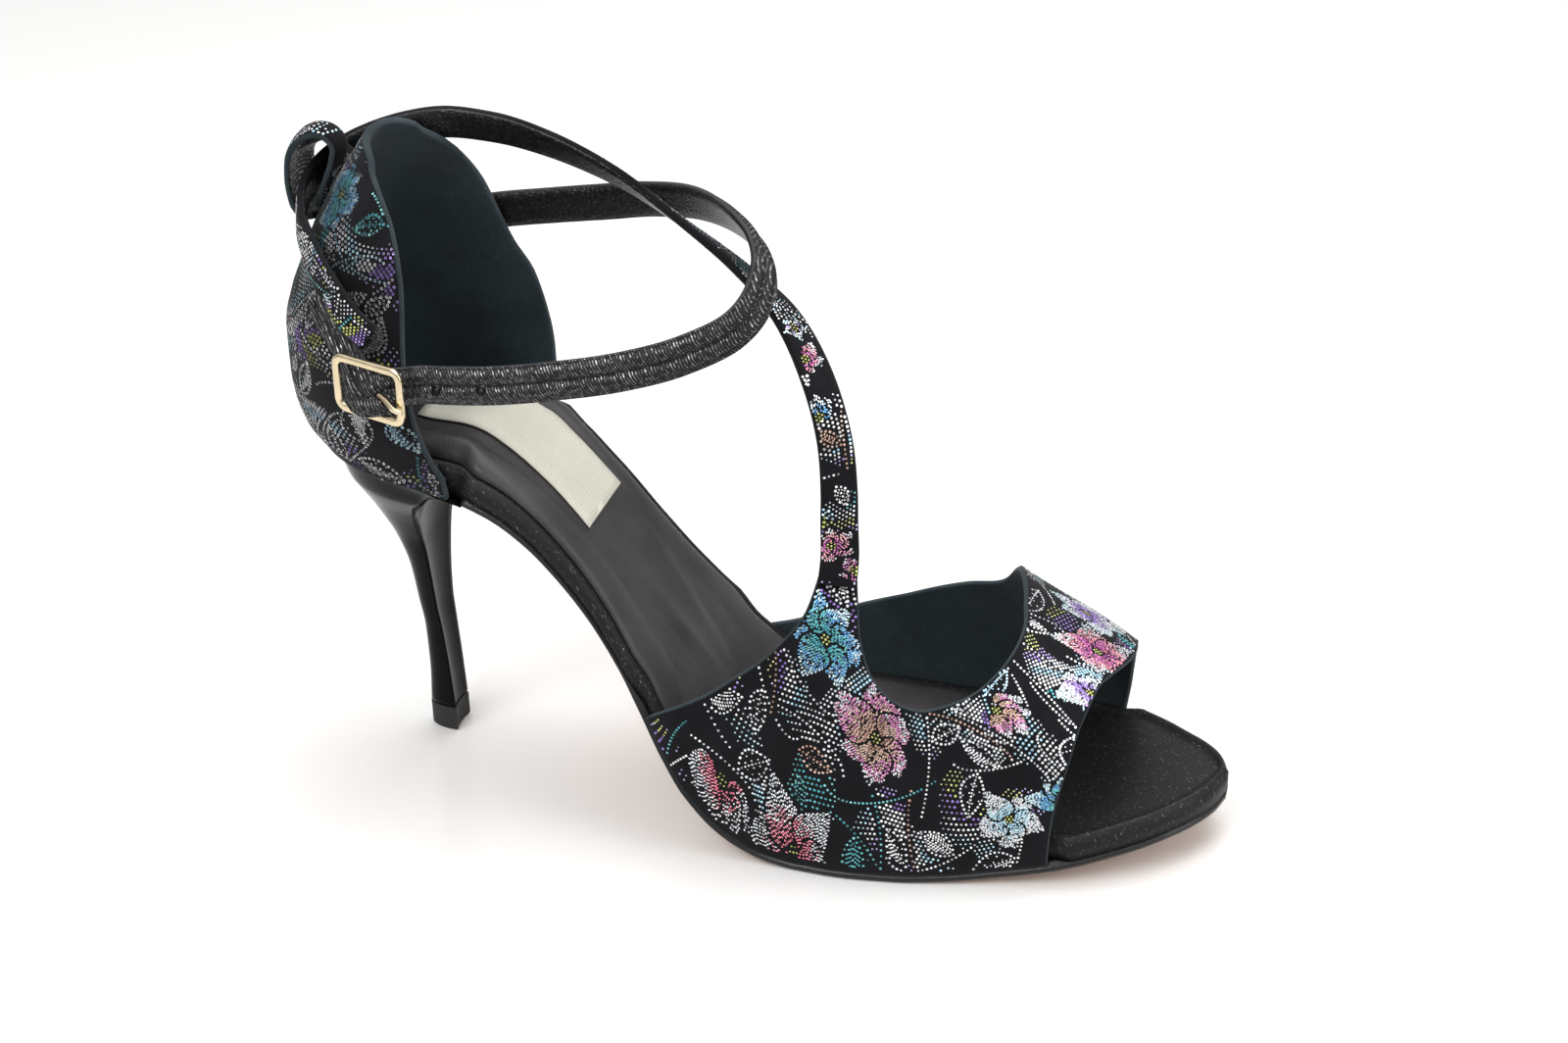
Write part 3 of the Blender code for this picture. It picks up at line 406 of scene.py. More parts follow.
def counter_turn(x, z):
    if x >= SEAT_SIDE_X:
        return 1.0 + (x - SEAT_SIDE_X) / TURN_SPAN
    depth = SEAT_SIDE_X - counter_back(z)
    share = min(max((SEAT_SIDE_X - x) / depth, 0.0), 1.0)
    return math.acos(share ** (SEAT_ROUNDNESS / 2)) / (math.pi / 2)


def inside(outline, points):
    """Which points lie in the outline, and how far each is from its edge."""
    found = np.zeros(len(points), bool)
    near = np.full(len(points), np.inf)
    ends = np.roll(outline, -1, axis=0)
    for (ax, ay), (bx, by) in zip(outline, ends):
        crosses = (ay > points[:, 1]) != (by > points[:, 1])
        if ay != by:
            at = ax + (points[:, 1] - ay) / (by - ay) * (bx - ax)
            found ^= crosses & (points[:, 0] < at)
        length = max((bx - ax) ** 2 + (by - ay) ** 2, 1e-14)
        share = np.clip(((points[:, 0] - ax) * (bx - ax) + (points[:, 1] - ay) * (by - ay)) / length, 0, 1)
        gap = np.hypot(ax + share * (bx - ax) - points[:, 0], ay + share * (by - ay) - points[:, 1])
        near = np.minimum(near, gap)
    return found, near


# Making and finishing pieces


def placed(name, data):
    made = bpy.data.objects.new(name, data)
    bpy.context.scene.collection.objects.link(made)
    return made


def mesh_of(name, form):
    mesh = bpy.data.meshes.new(name)
    form.to_mesh(mesh)
    form.free()
    mesh.transform(Matrix.Translation(ORIGIN))
    return mesh


def finished(name, form, materials, nodes):
    """Turns mesh data into a piece in the row frame that stands for its solids."""
    mesh = mesh_of(name, form)
    for material in materials:
        mesh.materials.append(material)
    mesh.polygons.foreach_set("use_smooth", [True] * len(mesh.polygons))
    made = placed(name, mesh)
    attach(made, "root")
    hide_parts(*nodes)
    return made


def outward_faces(form):
    bmesh.ops.recalc_face_normals(form, faces=form.faces)
    if form.calc_volume(signed=True) < 0:
        bmesh.ops.reverse_faces(form, faces=form.faces)


def loft(sections, closed_path=False, material_of=None):
    """A closed skin over rings of points. material_of gives the slot of each strip, and of the caps at -1."""
    form = bmesh.new()
    rings = [[form.verts.new(point) for point in ring] for ring in sections]
    count = len(rings[0])
    pairs = list(zip(rings, rings[1:]))
    if closed_path:
        pairs.append((rings[-1], rings[0]))
    for first, second in pairs:
        for i in range(count):
            j = (i + 1) % count
            face = form.faces.new((first[i], first[j], second[j], second[i]))
            if material_of:
                face.material_index = material_of(i)
    if not closed_path:
        for ring in (list(reversed(rings[0])), rings[-1]):
            cap = form.faces.new(ring)
            if material_of:
                cap.material_index = material_of(-1)
    bmesh.ops.triangulate(form, faces=[f for f in form.faces if len(f.verts) > 4])
    outward_faces(form)
    return form


def slots(first, last, edges=()):
    """Gives the face's strips the first material, the edges' the third and the rest the second."""
    return lambda i: 0 if first <= i <= last else 2 if i in edges else 1


def strip_of(length, width):
    half = width / 2
    return [(0.0, -half), (length, -half), (length, half), (0.0, half)]


def sheet(outline, place, step):
    """A fine curved sheet inside an outline drawn on its surface."""
    outline = np.array(outline)
    low = outline.min(axis=0)
    high = outline.max(axis=0)
    grid = []
    rows = int((high[1] - low[1]) / (step * 0.866)) + 1
    for row in range(rows):
        t = low[1] + row * step * 0.866
        offset = step / 2 if row % 2 else 0.0
        grid += [(s, t) for s in np.arange(low[0] + offset, high[0], step)]
    grid = np.array(grid)
    found, near = inside(outline, grid)
    inner = grid[found & (near > step * 0.55)]
    points = [Vector(p) for p in outline] + [Vector(p) for p in inner]
    count = len(outline)
    edges = [(i, (i + 1) % count) for i in range(count)]
    mesh = delaunay_2d_cdt(points, edges, [list(range(count))], 1, 1e-7)
    form = bmesh.new()
    corners = [form.verts.new(place(p.x, p.y)) for p in mesh[0]]
    for face in mesh[2]:
        form.faces.new([corners[i] for i in face])
    bmesh.ops.recalc_face_normals(form, faces=form.faces)
    centre = sum((v.co for v in form.verts), Vector()) / len(form.verts)
    outward = sum((f.calc_center_median() - centre).dot(f.normal) * f.calc_area() for f in form.faces)
    if outward < 0:
        bmesh.ops.reverse_faces(form, faces=form.faces)
    return form


def walled(made, wall, rounding):
    """Gives a sheet its wall inward, a lining, a cut edge and softly rounded rims."""
    solidify = made.modifiers.new("wall", "SOLIDIFY")
    solidify.thickness = wall
    solidify.offset = -1.0
    solidify.use_even_offset = True
    solidify.use_quality_normals = True
    solidify.material_offset = 1
    solidify.material_offset_rim = 2
    bevel = made.modifiers.new("rounding", "BEVEL")
    bevel.width = rounding
    bevel.segments = 2
    bevel.limit_method = "ANGLE"
    bevel.angle_limit = math.radians(55)
    bevel.material = 2


# Materials


def node(tree, kind, sockets=(), **settings):
    """A node with its settings, and a value or a link on each socket that is named or numbered."""
    made = tree.nodes.new(kind)
    for key, value in settings.items():
        setattr(made, key, value)
    for socket, value in dict(sockets).items():
        if isinstance(value, bpy.types.NodeSocket):
            tree.links.new(value, made.inputs[socket])
        else:
            made.inputs[socket].default_value = value
    return made


def shader_of(name, **constants):
    """A new material whose shader has constants on its sockets, with spaces written as underscores."""
    material = bpy.data.materials.new(name)
    material.use_nodes = True
    shader = material.node_tree.nodes["Principled BSDF"]
    for socket, value in constants.items():
        shader.inputs[socket.replace("_", " ")].default_value = value
    return material, material.node_tree, shader


def place_of(tree, scale=(1.0, 1.0, 1.0), turn=(0.0, 0.0, 0.0)):
    """Object coordinates in the shoe's own metres, stretched and turned."""
    where = node(tree, "ShaderNodeTexCoord").outputs["Object"]
    return node(tree, "ShaderNodeMapping", {"Vector": where, "Scale": scale, "Rotation": turn}).outputs[0]


def ramp(tree, source, *stops):
    """Bands of colour, or of grey where a stop is one number."""
    made = node(tree, "ShaderNodeValToRGB", {"Fac": source})
    bands = made.color_ramp.elements
    while len(bands) < len(stops):
        bands.new(0.5)
    for band, (at, colour) in zip(bands, stops):
        band.position = at
        band.color = (*(colour if isinstance(colour, tuple) else (colour,) * 3), 1.0)
    return made.outputs["Color"]


def driven(tree, shader, socket, source, *stops):
    tree.links.new(ramp(tree, source, *stops), shader.inputs[socket])


def noise(tree, vector, scale, detail, rough=0.55):
    sockets = {"Vector": vector, "Scale": scale, "Detail": detail, "Roughness": rough}
    return node(tree, "ShaderNodeTexNoise", sockets).outputs["Fac"]


def cells(tree, vector, scale, feature):
    sockets = {"Vector": vector, "Scale": scale}
    return node(tree, "ShaderNodeTexVoronoi", sockets, feature=feature).outputs["Distance"]


def threads(tree, vector, direction, **constants):
    """Straight bands across one direction."""
    made = node(tree, "ShaderNodeTexWave", {"Vector": vector}, wave_type="BANDS", bands_direction=direction)
    for socket, value in constants.items():
        made.inputs[socket.replace("_", " ")].default_value = value
    return made.outputs["Fac"]


def product(tree, first, second):
    return node(tree, "ShaderNodeMath", {0: first, 1: second}, operation="MULTIPLY").outputs[0]


def bumped(tree, shader, height, strength, distance):
    bump = node(tree, "ShaderNodeBump", {"Height": height, "Strength": strength, "Distance": distance})
    tree.links.new(bump.outputs["Normal"], shader.inputs["Normal"])


def suede(name, dark, light, roughness=0.88, sheen=0.06):
    material, tree, shader = shader_of(
        name, Roughness=roughness, Sheen_Weight=sheen, Sheen_Roughness=0.5, Specular_IOR_Level=0.12
    )
    here = place_of(tree)
    nap = noise(tree, here, 2600.0, 3.0, 0.7)
    cloudy_nap = product(tree, noise(tree, here, 90.0, 5.0), nap)
    driven(tree, shader, "Base Color", cloudy_nap, (0.12, dark), (0.45, light))
    bumped(tree, shader, nap, 0.35, 0.00012)
    return material


def foil(name):
    """Thin pressed foil in the colour of each dot, slightly crushed."""
    material, tree, shader = shader_of(name, Metallic=0.55)
    ink = node(tree, "ShaderNodeAttribute", attribute_name="ink")
    tree.links.new(ink.outputs["Color"], shader.inputs["Base Color"])
    crush = noise(tree, place_of(tree), 1500.0, 3.0, 0.6)
    driven(tree, shader, "Roughness", crush, (0.3, 0.2), (0.75, 0.46))
    bumped(tree, shader, crush, 0.3, 0.00015)
    return material


def shimmer(name, turn, density=0.5, base=(0.005, 0.005, 0.0055), fleck=(0.30, 0.30, 0.31)):
    """Black leather with fine diagonal threads of silver flecks."""
    material, tree, shader = shader_of(name, Specular_IOR_Level=0.25)
    slanted = place_of(tree, turn=turn)
    lines = threads(tree, slanted, "X", Scale=520.0, Distortion=0.5, Detail=2.0, Detail_Scale=2.5)
    drawn = node(tree, "ShaderNodeMapping", {"Vector": slanted, "Scale": (1.0, 0.5, 0.5)}).outputs[0]
    grain = noise(tree, drawn, 1900.0, 2.0, 0.7)
    start = 0.60 - 0.36 * density
    shine = ramp(tree, product(tree, lines, grain), (start, 0.0), (start + 0.2, 1.0))
    colours = {"Factor": shine, 6: (*base, 1.0), 7: (*fleck, 1.0)}
    colour = node(tree, "ShaderNodeMix", colours, data_type="RGBA").outputs[2]
    tree.links.new(colour, shader.inputs["Base Color"])
    tree.links.new(shine, shader.inputs["Metallic"])
    driven(tree, shader, "Roughness", shine, (0.0, 0.55), (1.0, 0.3))
    bumped(tree, shader, grain, 0.3, 0.00008)
    return material


def scaled_lining(name):
    """Black lining pressed with fine scales, with painted shade darkening the grooves between them."""
    material, tree, shader = shader_of(name, Roughness=0.36, Specular_IOR_Level=0.35)
    edge = cells(tree, place_of(tree, (1.0, 0.7, 1.4)), 760.0, "DISTANCE_TO_EDGE")
    # painted shade: the base colour darkens in the grooves between the scales, along the bump's own mask
    driven(tree, shader, "Base Color", edge, (0.0, 0.003), (0.25, 0.012))
    bumped(tree, shader, edge, 0.6, 0.0004)
    return material


def soft_leather(name, dark, light, roughness, grain=1100.0, depth=0.00012):
    material, tree, shader = shader_of(name, Specular_IOR_Level=0.35)
    here = place_of(tree)
    cloud = noise(tree, here, 60.0, 5.0)
    driven(tree, shader, "Base Color", cloud, (0.3, dark), (0.7, light))
    driven(tree, shader, "Roughness", cloud, (0.3, roughness - 0.05), (0.7, roughness + 0.07))
    bumped(tree, shader, cells(tree, here, grain, "F1"), 0.4, depth)
    return material


def lacquer(name):
    black = (0.003, 0.003, 0.0033, 1.0)
    material, tree, shader = shader_of(name, Base_Color=black, Specular_IOR_Level=0.2, IOR=1.25)
    here = place_of(tree)
    driven(tree, shader, "Roughness", noise(tree, here, 1400.0, 2.0), (0.4, 0.13), (0.72, 0.22))
    bumped(tree, shader, noise(tree, here, 55.0, 2.0), 0.12, 0.0006)
    return material


def metal(name, colour, roughness):
    material, tree, shader = shader_of(name, Metallic=1.0)
    cloud = noise(tree, place_of(tree), 420.0, 4.0)
    driven(tree, shader, "Base Color", cloud, (0.3, tuple(c * 0.82 for c in colour)), (0.65, colour))
    driven(tree, shader, "Roughness", cloud, (0.3, roughness), (0.7, roughness + 0.14))
    bumped(tree, shader, cloud, 0.1, 0.0001)
    return material


def cloth(name, colour):
    material, tree, shader = shader_of(name, Roughness=0.9)
    here = place_of(tree)
    warp, weft = (threads(tree, here, direction, Scale=620.0, Distortion=0.6) for direction in ("X", "Y"))
    weave = product(tree, warp, weft)
    shade = product(tree, weave, noise(tree, here, 160.0, 3.0))
    # painted shade: the base colour darkens in the gaps between the threads, along the weave of the bump,
    # mixed with random cloudy tone
    driven(tree, shader, "Base Color", shade, (0.05, tuple(c * 0.8 for c in colour)), (0.5, colour))
    bumped(tree, shader, weave, 0.35, 0.0002)
    return material


PRINT_BASE = suede("black_suede", (0.002, 0.002, 0.0028), (0.008, 0.0082, 0.0105))
LINING = suede("teal_black_lining", (0.013, 0.0195, 0.023), (0.029, 0.043, 0.050), 0.9, 0.1)
CUT_EDGE = suede("teal_grey_edge", (0.012, 0.018, 0.021), (0.035, 0.05, 0.057), 0.85, 0.08)
FOIL = foil("pressed_foil")
SHIMMER_STRAP = shimmer("shimmer_strap", (0.0, 0.6, 0.0))
SHIMMER_BOARD = shimmer("shimmer_board", (0.3, 0.6, -0.7), 0.12)
STRAP_LINING = scaled_lining("scaled_lining")
UPPER = [PRINT_BASE, LINING, CUT_EDGE]
RAW_EDGE = soft_leather("raw_edge", (0.012, 0.0125, 0.013), (0.035, 0.036, 0.038), 0.75)
SOCK = soft_leather("sock_grey", (0.024, 0.0225, 0.0235), (0.043, 0.040, 0.042), 0.44, 1500.0, 0.0001)
SOLE_TAN = soft_leather("sole_tan", (0.50, 0.29, 0.17), (0.62, 0.38, 0.24), 0.5, 900.0)
SOLE_EDGE = soft_leather("sole_edge_black", (0.006, 0.006, 0.007), (0.014, 0.013, 0.013), 0.35)
HEEL = lacquer("heel_lacquer")
TIP = soft_leather("tip_rubber", (0.012, 0.012, 0.013), (0.022, 0.022, 0.023), 0.6, 700.0)
GOLD = metal("pale_gold", (0.80, 0.67, 0.45), 0.2)
LABEL = cloth("label_cloth", (0.66, 0.64, 0.55))


# The print: foil blossoms, dotted sprays of leaves, and fields of dots

INKS = {
    "silver": ((0.92, 0.93, 0.96), (0.74, 0.77, 0.82)),
    "sky": ((0.44, 0.70, 0.88), (0.66, 0.84, 0.94)),
    "azure": ((0.07, 0.24, 0.52), (0.22, 0.50, 0.78)),
    "teal": ((0.06, 0.33, 0.38), (0.25, 0.62, 0.62)),
    "rose": ((0.85, 0.20, 0.30), (0.92, 0.55, 0.60)),
    "magenta": ((0.52, 0.10, 0.36), (0.82, 0.42, 0.62)),
    "violet": ((0.30, 0.18, 0.56), (0.58, 0.50, 0.82)),
    "lime": ((0.52, 0.56, 0.14), (0.78, 0.76, 0.34)),
    "copper": ((0.50, 0.30, 0.22), (0.80, 0.62, 0.54)),
}
BLOSSOM_INKS = (
    ("teal", "azure", "sky"),
    ("rose", "silver", "silver"),
    ("violet", "silver", "sky"),
    ("azure", "sky", "silver"),
    ("copper", "magenta", "silver"),
    ("sky", "silver", "silver"),
    ("magenta", "rose", "silver"),
)
SPRAY_INKS = ("silver", "silver", "sky", "silver", "teal", "silver", "copper")
FIELD_INKS = ("teal", "silver", "silver", "sky", "silver", "violet", "lime", "silver")
CELL = 0.00016
COARSE = 0.0005
STEM_STEP = 0.0009
LEAF_ROW = 0.0006
LEAF_STROKE = 0.00046
PETAL_ROW = 0.0006
PETAL_STROKE = 0.00041
HEART_RING = 0.0008
FIELD_SPACING = 0.00098


def moved(s, t, angle, reach):
    return s + reach * math.cos(angle), t + reach * math.sin(angle)


class Print:
    """A page of foil marks in metres, none over another, kept inside an outline."""

    def __init__(self, outline, margin, seed):
        self.outline = np.array(outline)
        self.random = random.Random(seed)
        self.low = self.outline.min(axis=0)
        self.size = self.outline.max(axis=0) - self.low
        cols, rows = (int(v / COARSE) + 2 for v in self.size)
        grid = np.stack(np.meshgrid(np.arange(cols), np.arange(rows), indexing="ij"), axis=-1).reshape(-1, 2)
        found, near = inside(self.outline, self.low + grid * COARSE)
        self.open = (found & (near > margin)).reshape(cols, rows)
        self.taken = np.zeros([int(v / CELL) + 2 for v in self.size], bool)
        self.marks = []

    def angle(self):
        return self.random.uniform(0, 6.28)

    def spot(self):
        return [self.low[k] + self.random.random() * self.size[k] for k in (0, 1)]

    def ink(self, name, share=0.0):
        first, second = INKS[name]
        blend = min(max(share + self.random.uniform(-0.3, 0.3), 0.0), 1.0)
        light = self.random.choice((0.5, 0.8, 1.0, 1.0, 1.15, 1.25))
        return tuple(min((a + (b - a) * blend) * light, 1.0) for a, b in zip(first, second))

    def cells_of(self, places, step, grid):
        index = np.rint((places - self.low) / step).astype(int)
        return np.clip(index[:, 0], 0, grid.shape[0] - 1), np.clip(index[:, 1], 0, grid.shape[1] - 1)

    def within(self, places):
        span = (places >= self.low).all(axis=1) & (places <= self.low + self.size).all(axis=1)
        return self.open[self.cells_of(places, COARSE, self.open)] & span

    def clear(self, marks, share=0.02):
        """Whether enough of the marks lie on the page, and few enough on ground that is taken."""
        places = np.array([m[:2] for m in marks])
        covered = self.taken[self.cells_of(places, CELL, self.taken)].mean()
        return self.within(places).mean() > 0.3 and covered <= share

    def put(self, marks, room, blanks=()):
        """Adds the marks that fall on free ground, and keeps the ground round them free of later ones."""
        places = np.array([m[:2] for m in marks])
        good = self.within(places) & ~self.taken[self.cells_of(places, CELL, self.taken)]
        self.marks += [m for m, ok in zip(marks, good) if ok]
        stamps = [(m[0], m[1], m[2] + room) for m, ok in zip(marks, good) if ok] + list(blanks)
        for s, t, reach in stamps:
            i = int(round((s - self.low[0]) / CELL))
            j = int(round((t - self.low[1]) / CELL))
            k = max(int(reach / CELL), 1)
            self.taken[max(i - k, 0) : max(i + k + 1, 0), max(j - k, 0) : max(j + k + 1, 0)] = True

    def line(self, points, radius, name, gap=2.7):
        """Dots along a line; gap is their spacing in radii."""
        points = np.array(points)
        run = run_of(points)
        count = max(int(run[-1] / (radius * gap)), 2)
        marks = []
        for i in range(count):
            at = run[-1] * i / (count - 1)
            s = float(np.interp(at, run, points[:, 0]))
            t = float(np.interp(at, run, points[:, 1]))
            size = radius * self.random.uniform(0.85, 1.15)
            marks.append((s, t, size, self.ink(name, i / count), 1.0, 0.0))
        return marks

    def leaf(self, s, t, length, angle, name, style):
        """A pointed leaf: dotted round its edge, with a midrib and veins, or filled on one side or both."""
        half = length * self.random.uniform(0.22, 0.3)
        bend = self.random.uniform(-0.25, 0.25) * length
        c = math.cos(angle)
        d = math.sin(angle)

        def at(u, v):
            v = v + bend * u * u
            return (s + u * length * c - v * d, t + u * length * d + v * c)

        def wide(u):
            return half * math.sin(math.pi * u**0.85)

        ribs = [i / 16 for i in range(17)]
        outline = [at(u, wide(u)) for u in ribs] + [at(u, -wide(u)) for u in reversed(ribs)]
        marks = self.line(outline, 0.00033, name)
        blanks = []
        for u in ribs[1:-1]:
            for v in np.linspace(-0.8, 0.8, 5):
                blanks.append((*at(u, v * wide(u)), half * 0.28))
        marks += self.line([at(u * 0.9, 0.0) for u in ribs], 0.00027, name)
        for side in (-1, 1):
            if style == "full" or (style == "half" and side > 0):
                for k in range(1, int(length / LEAF_ROW)):
                    u = k * LEAF_ROW / length
                    reach = wide(u) - LEAF_ROW
                    for m in range(int(max(reach, 0) / LEAF_STROKE)):
                        x, y = at(u + 0.1 * m * LEAF_STROKE / half, side * (0.0005 + m * LEAF_STROKE))
                        share = m * LEAF_STROKE / half
                        marks.append((x, y, 0.0002, self.ink(name, share), 1.7, angle + side * 0.7))
            else:
                for k in (4, 7, 10):
                    u = k / 15
                    vein = [at(u, side * 0.0005), at(u + 0.1, side * wide(u) * 0.7)]
                    marks += self.line(vein, 0.0002, name, 3.0)
        return marks, blanks

    def petal(self, s, t, length, angle, half, names):
        """One ruffled petal of close fine strokes that fan from the heart."""
        marks = []
        phase = self.angle()
        rows = max(int(length / PETAL_ROW), 4)
        for row in range(1, rows + 1):
            u = row / rows
            wide = half * math.sin(math.pi * min(u**0.75 * 0.86 + 0.06, 1.0)) ** 0.75
            count = max(int(2 * wide / PETAL_STROKE), 1)
            for k in range(count):
                v = (-1 + 2 * (k + 0.5) / count) * wide
                ruffle = 1 + 0.09 * math.sin(5 * v / half + phase) - 0.16 * (v / half) ** 2
                reach = u * length * ruffle + self.random.uniform(-0.00016, 0.00016)
                x = s + reach * math.cos(angle) - v * math.sin(angle)
                y = t + reach * math.sin(angle) + v * math.cos(angle)
                share = u + self.random.uniform(-0.22, 0.22) + 0.15 * math.sin(3 * v / half + phase)
                name = names[0] if share < 0.45 else names[1] if share < 0.8 else names[2]
                if self.random.random() < 0.96:
                    lean = angle + 0.6 * v / half + self.random.uniform(-0.3, 0.3)
                    marks.append((x, y, 0.00021, self.ink(name, u), 1.6, lean))
        return marks

    def blossom(self, s, t, radius, names, ragged):
        """A flower of overlapping petals, or half of one seen from the side."""
        petals = self.random.choice((5, 6)) if not ragged else 4
        turn = self.angle()
        spread = 2 * math.pi if not ragged else 2.6
        made = []
        for k in range(petals):
            angle = turn + spread * k / petals + self.random.uniform(-0.15, 0.15)
            length = radius * self.random.uniform(0.75, 1.1)
            start = radius * 0.1
            half = length * self.random.uniform(0.36, 0.5)
            made.append(self.petal(*moved(s, t, angle, start), length - start, angle, half, names))
        if not self.clear([m for petal in made for m in petal]):
            return False
        heart = [(s, t, 0.0003, self.ink("lime"), 1.0, 0.0)]
        for k in range(6):
            place = moved(s, t, math.pi * k / 3, HEART_RING)
            heart.append((*place, 0.00024, self.ink("lime"), 1.0, 0.0))
        self.put(heart, 0.0002)
        for petal in made:
            self.put(petal, 0.00028)
        return True

    def spray(self, s, t, angle, length, name, leaf_length):
        """A curved dotted stem with leaves to both sides and a curl at its end."""
        points = [(s, t)]
        bend = self.random.choice((-1, 1)) * self.random.uniform(15, 55)
        count = int(length / STEM_STEP)
        branches = []
        for k in range(count):
            share = k / count
            angle += STEM_STEP * bend * (1 + 6 * max(share - 0.75, 0) * 4)
            s, t = moved(s, t, angle, STEM_STEP)
            points.append((s, t))
            if k % 6 == 4 and share < 0.85:
                branches.append((s, t, angle))
        stem = self.line(points, 0.0003, name, 2.9)
        if not self.clear(stem, 0.1):
            return False
        self.put(stem, 0.00035)
        for k, (x, y, lean) in enumerate(branches):
            side = 1 if k % 2 else -1
            away = lean + side * self.random.uniform(0.7, 1.1)
            place = moved(x, y, away, 0.0009)
            style = self.random.choice(("open", "open", "half", "full"))
            size = leaf_length * self.random.uniform(0.75, 1.2)
            marks, blanks = self.leaf(*place, size, away, name, style)
            if self.clear(marks, 0.06):
                self.put(marks, 0.0003, blanks)
        return True

    def waves(self, low, high, count=7):
        """A smooth random height over the page, from -1 to 1 or so."""
        terms = []
        for _ in range(count):
            turn = self.angle()
            wave = 2 * math.pi / self.random.uniform(low, high)
            terms.append((wave * math.cos(turn), wave * math.sin(turn), self.angle()))
        return lambda s, t: sum(np.sin(a * s + b * t + c) for a, b, c in terms) / math.sqrt(count)

    def fields(self, spacing, level, names):
        """Rows of dots that swell and fade, in patches of colour."""
        cols = int(self.size[0] / spacing) + 2
        rows = int(self.size[1] / (spacing * 0.87)) + 2
        i, j = np.meshgrid(np.arange(cols), np.arange(rows), indexing="ij")
        s = (self.low[0] + (i + 0.5 * (j % 2)) * spacing).ravel()
        t = (self.low[1] + j * spacing * 0.87).ravel()
        warp = self.waves(0.016, 0.04)
        other = self.waves(0.016, 0.04)
        height = self.waves(0.012, 0.035)(s, t)
        hue = self.waves(0.02, 0.05)(s, t)
        x = s + 0.0009 * warp(s, t)
        y = t + 0.0009 * other(s, t)
        marks = []
        for k in np.flatnonzero(height > level):
            swell = min((height[k] - level) / 0.7, 1.0)
            name = names[int((hue[k] + 1.6) / 3.2 * len(names)) % len(names)]
            radius = 0.0002 + 0.00014 * swell
            marks.append((float(x[k]), float(y[k]), radius, self.ink(name, 1 - swell), 1.0, 0.0))
        self.put(marks, 0.00001)


def foil_mesh(name, marks, place, reverse=False, lift=0.00005):
    """Joins every mark as a low dome of six faces laid on the surface."""
    step = 0.0002
    verts = []
    faces = []
    inks = []
    for s, t, radius, colour, stretch, turn in marks:
        here = place(s, t)
        du = place(s + step, t) - here
        dv = place(s, t + step) - here
        normal = du.cross(dv)
        if normal.length < 1e-12:
            continue
        du.normalize()
        normal.normalize()
        if reverse:
            normal = -normal
        other = normal.cross(du)
        a = du * math.cos(turn) + other * math.sin(turn)
        b = other * math.cos(turn) - du * math.sin(turn)
        first = len(verts)
        verts.append(here + normal * lift)
        for k in range(6):
            angle = math.pi * k / 3
            spread = a * math.cos(angle) * radius * stretch + b * math.sin(angle) * radius
            verts.append(here + spread - normal * 0.00001)
        for k in range(6):
            faces.append((first, first + 1 + k, first + 1 + (k + 1) % 6))
        inks.append(colour)
    mesh = bpy.data.meshes.new(name)
    mesh.from_pydata([tuple(v + ORIGIN) for v in verts], [], faces)
    mesh.materials.append(FOIL)
    layer = mesh.color_attributes.new("ink", "FLOAT_COLOR", "POINT")
    values = np.ones((len(verts), 4), np.float32)
    values[:, :3] = np.repeat(np.array(inks, np.float32), 7, axis=0)
    layer.data.foreach_set("color", values.ravel())
    mesh.polygons.foreach_set("use_smooth", [True] * len(faces))
    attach(placed(name, mesh), "root")


def printed(outline, margin, seed, blossoms, radius, sprays, leaf_length, singles, level):
    """Lays blossoms, then sprays, then loose leaves, then fields of dots over what is left."""
    page = Print(outline, margin, seed)
    draw = page.random

    def add_blossom(found, s, t):
        names = BLOSSOM_INKS[found % len(BLOSSOM_INKS)]
        return page.blossom(s, t, radius * draw.uniform(0.7, 1.1), names, found % 3 == 1)

    def add_spray(found, s, t):
        angle = page.angle()
        length = draw.uniform(1.6, 3.2) * leaf_length
        return page.spray(s, t, angle, length, SPRAY_INKS[found % len(SPRAY_INKS)], leaf_length)

    for wanted, tries, add in ((blossoms, 90, add_blossom), (sprays, 60, add_spray)):
        found = 0
        for _ in range(wanted * tries):
            if found < wanted:
                found += add(found, *page.spot())
    for k in range(singles):
        s, t = page.spot()
        style = ("open", "full", "half")[k % 3]
        size = leaf_length * draw.uniform(0.5, 0.95)
        marks, blanks = page.leaf(s, t, size, page.angle(), SPRAY_INKS[k % len(SPRAY_INKS)], style)
        if page.clear(marks):
            page.put(marks, 0.0003, blanks)
    page.fields(FIELD_SPACING, level, FIELD_INKS)
    return page.marks


# Vamp and heel cage


def edge_points(table, step):
    rows = [(along(a), b * AROUND_SPAN) for a, b in table]
    length = np.sum(np.linalg.norm(np.diff(np.array(rows), axis=0), axis=1))
    return path_through([(*row, 0.0) for row in rows], max(int(length / step), 3))[:, :2]


def spaced(first, last, step):
    count = max(int(np.linalg.norm(np.subtract(last, first)) / step), 1)
    return [tuple(np.add(first, np.subtract(last, first) * i / count)) for i in range(1, count)]


def vamp_outline(step):
    back = edge_points(VAMP_BACK_EDGE, step)
    throat = edge_points(THROAT_EDGE, step)
    toe = edge_points(TOE_EDGE, step)
    outline = [tuple(p) for p in back]
    outline += spaced(back[-1], throat[0], step)
    outline += [tuple(p) for p in throat]
    outline += spaced(throat[-1], toe[0], step)
    outline += [tuple(p) for p in toe]
    outline += spaced(toe[-1], back[0], step)
    return outline


def on_vamp(s, t):
    return vamp_point(s, t / AROUND_SPAN)


def on_vamp_print(s, t):
    return vamp_point(s, t / PRINT_SPAN)


def seat_edge(turn):
    z = HEEL_HEIGHT
    for _ in range(4):
        x = counter_point(turn, z).x
        z = sole_height(x) + GAP + (OUTSOLE_THICKNESS if x > BREAST_X - GAP else 0.0)
    return z


def front_outline(front, side, heights):
    return [(side * counter_turn(front(z), z) * TURN_SPAN, z) for z in heights]


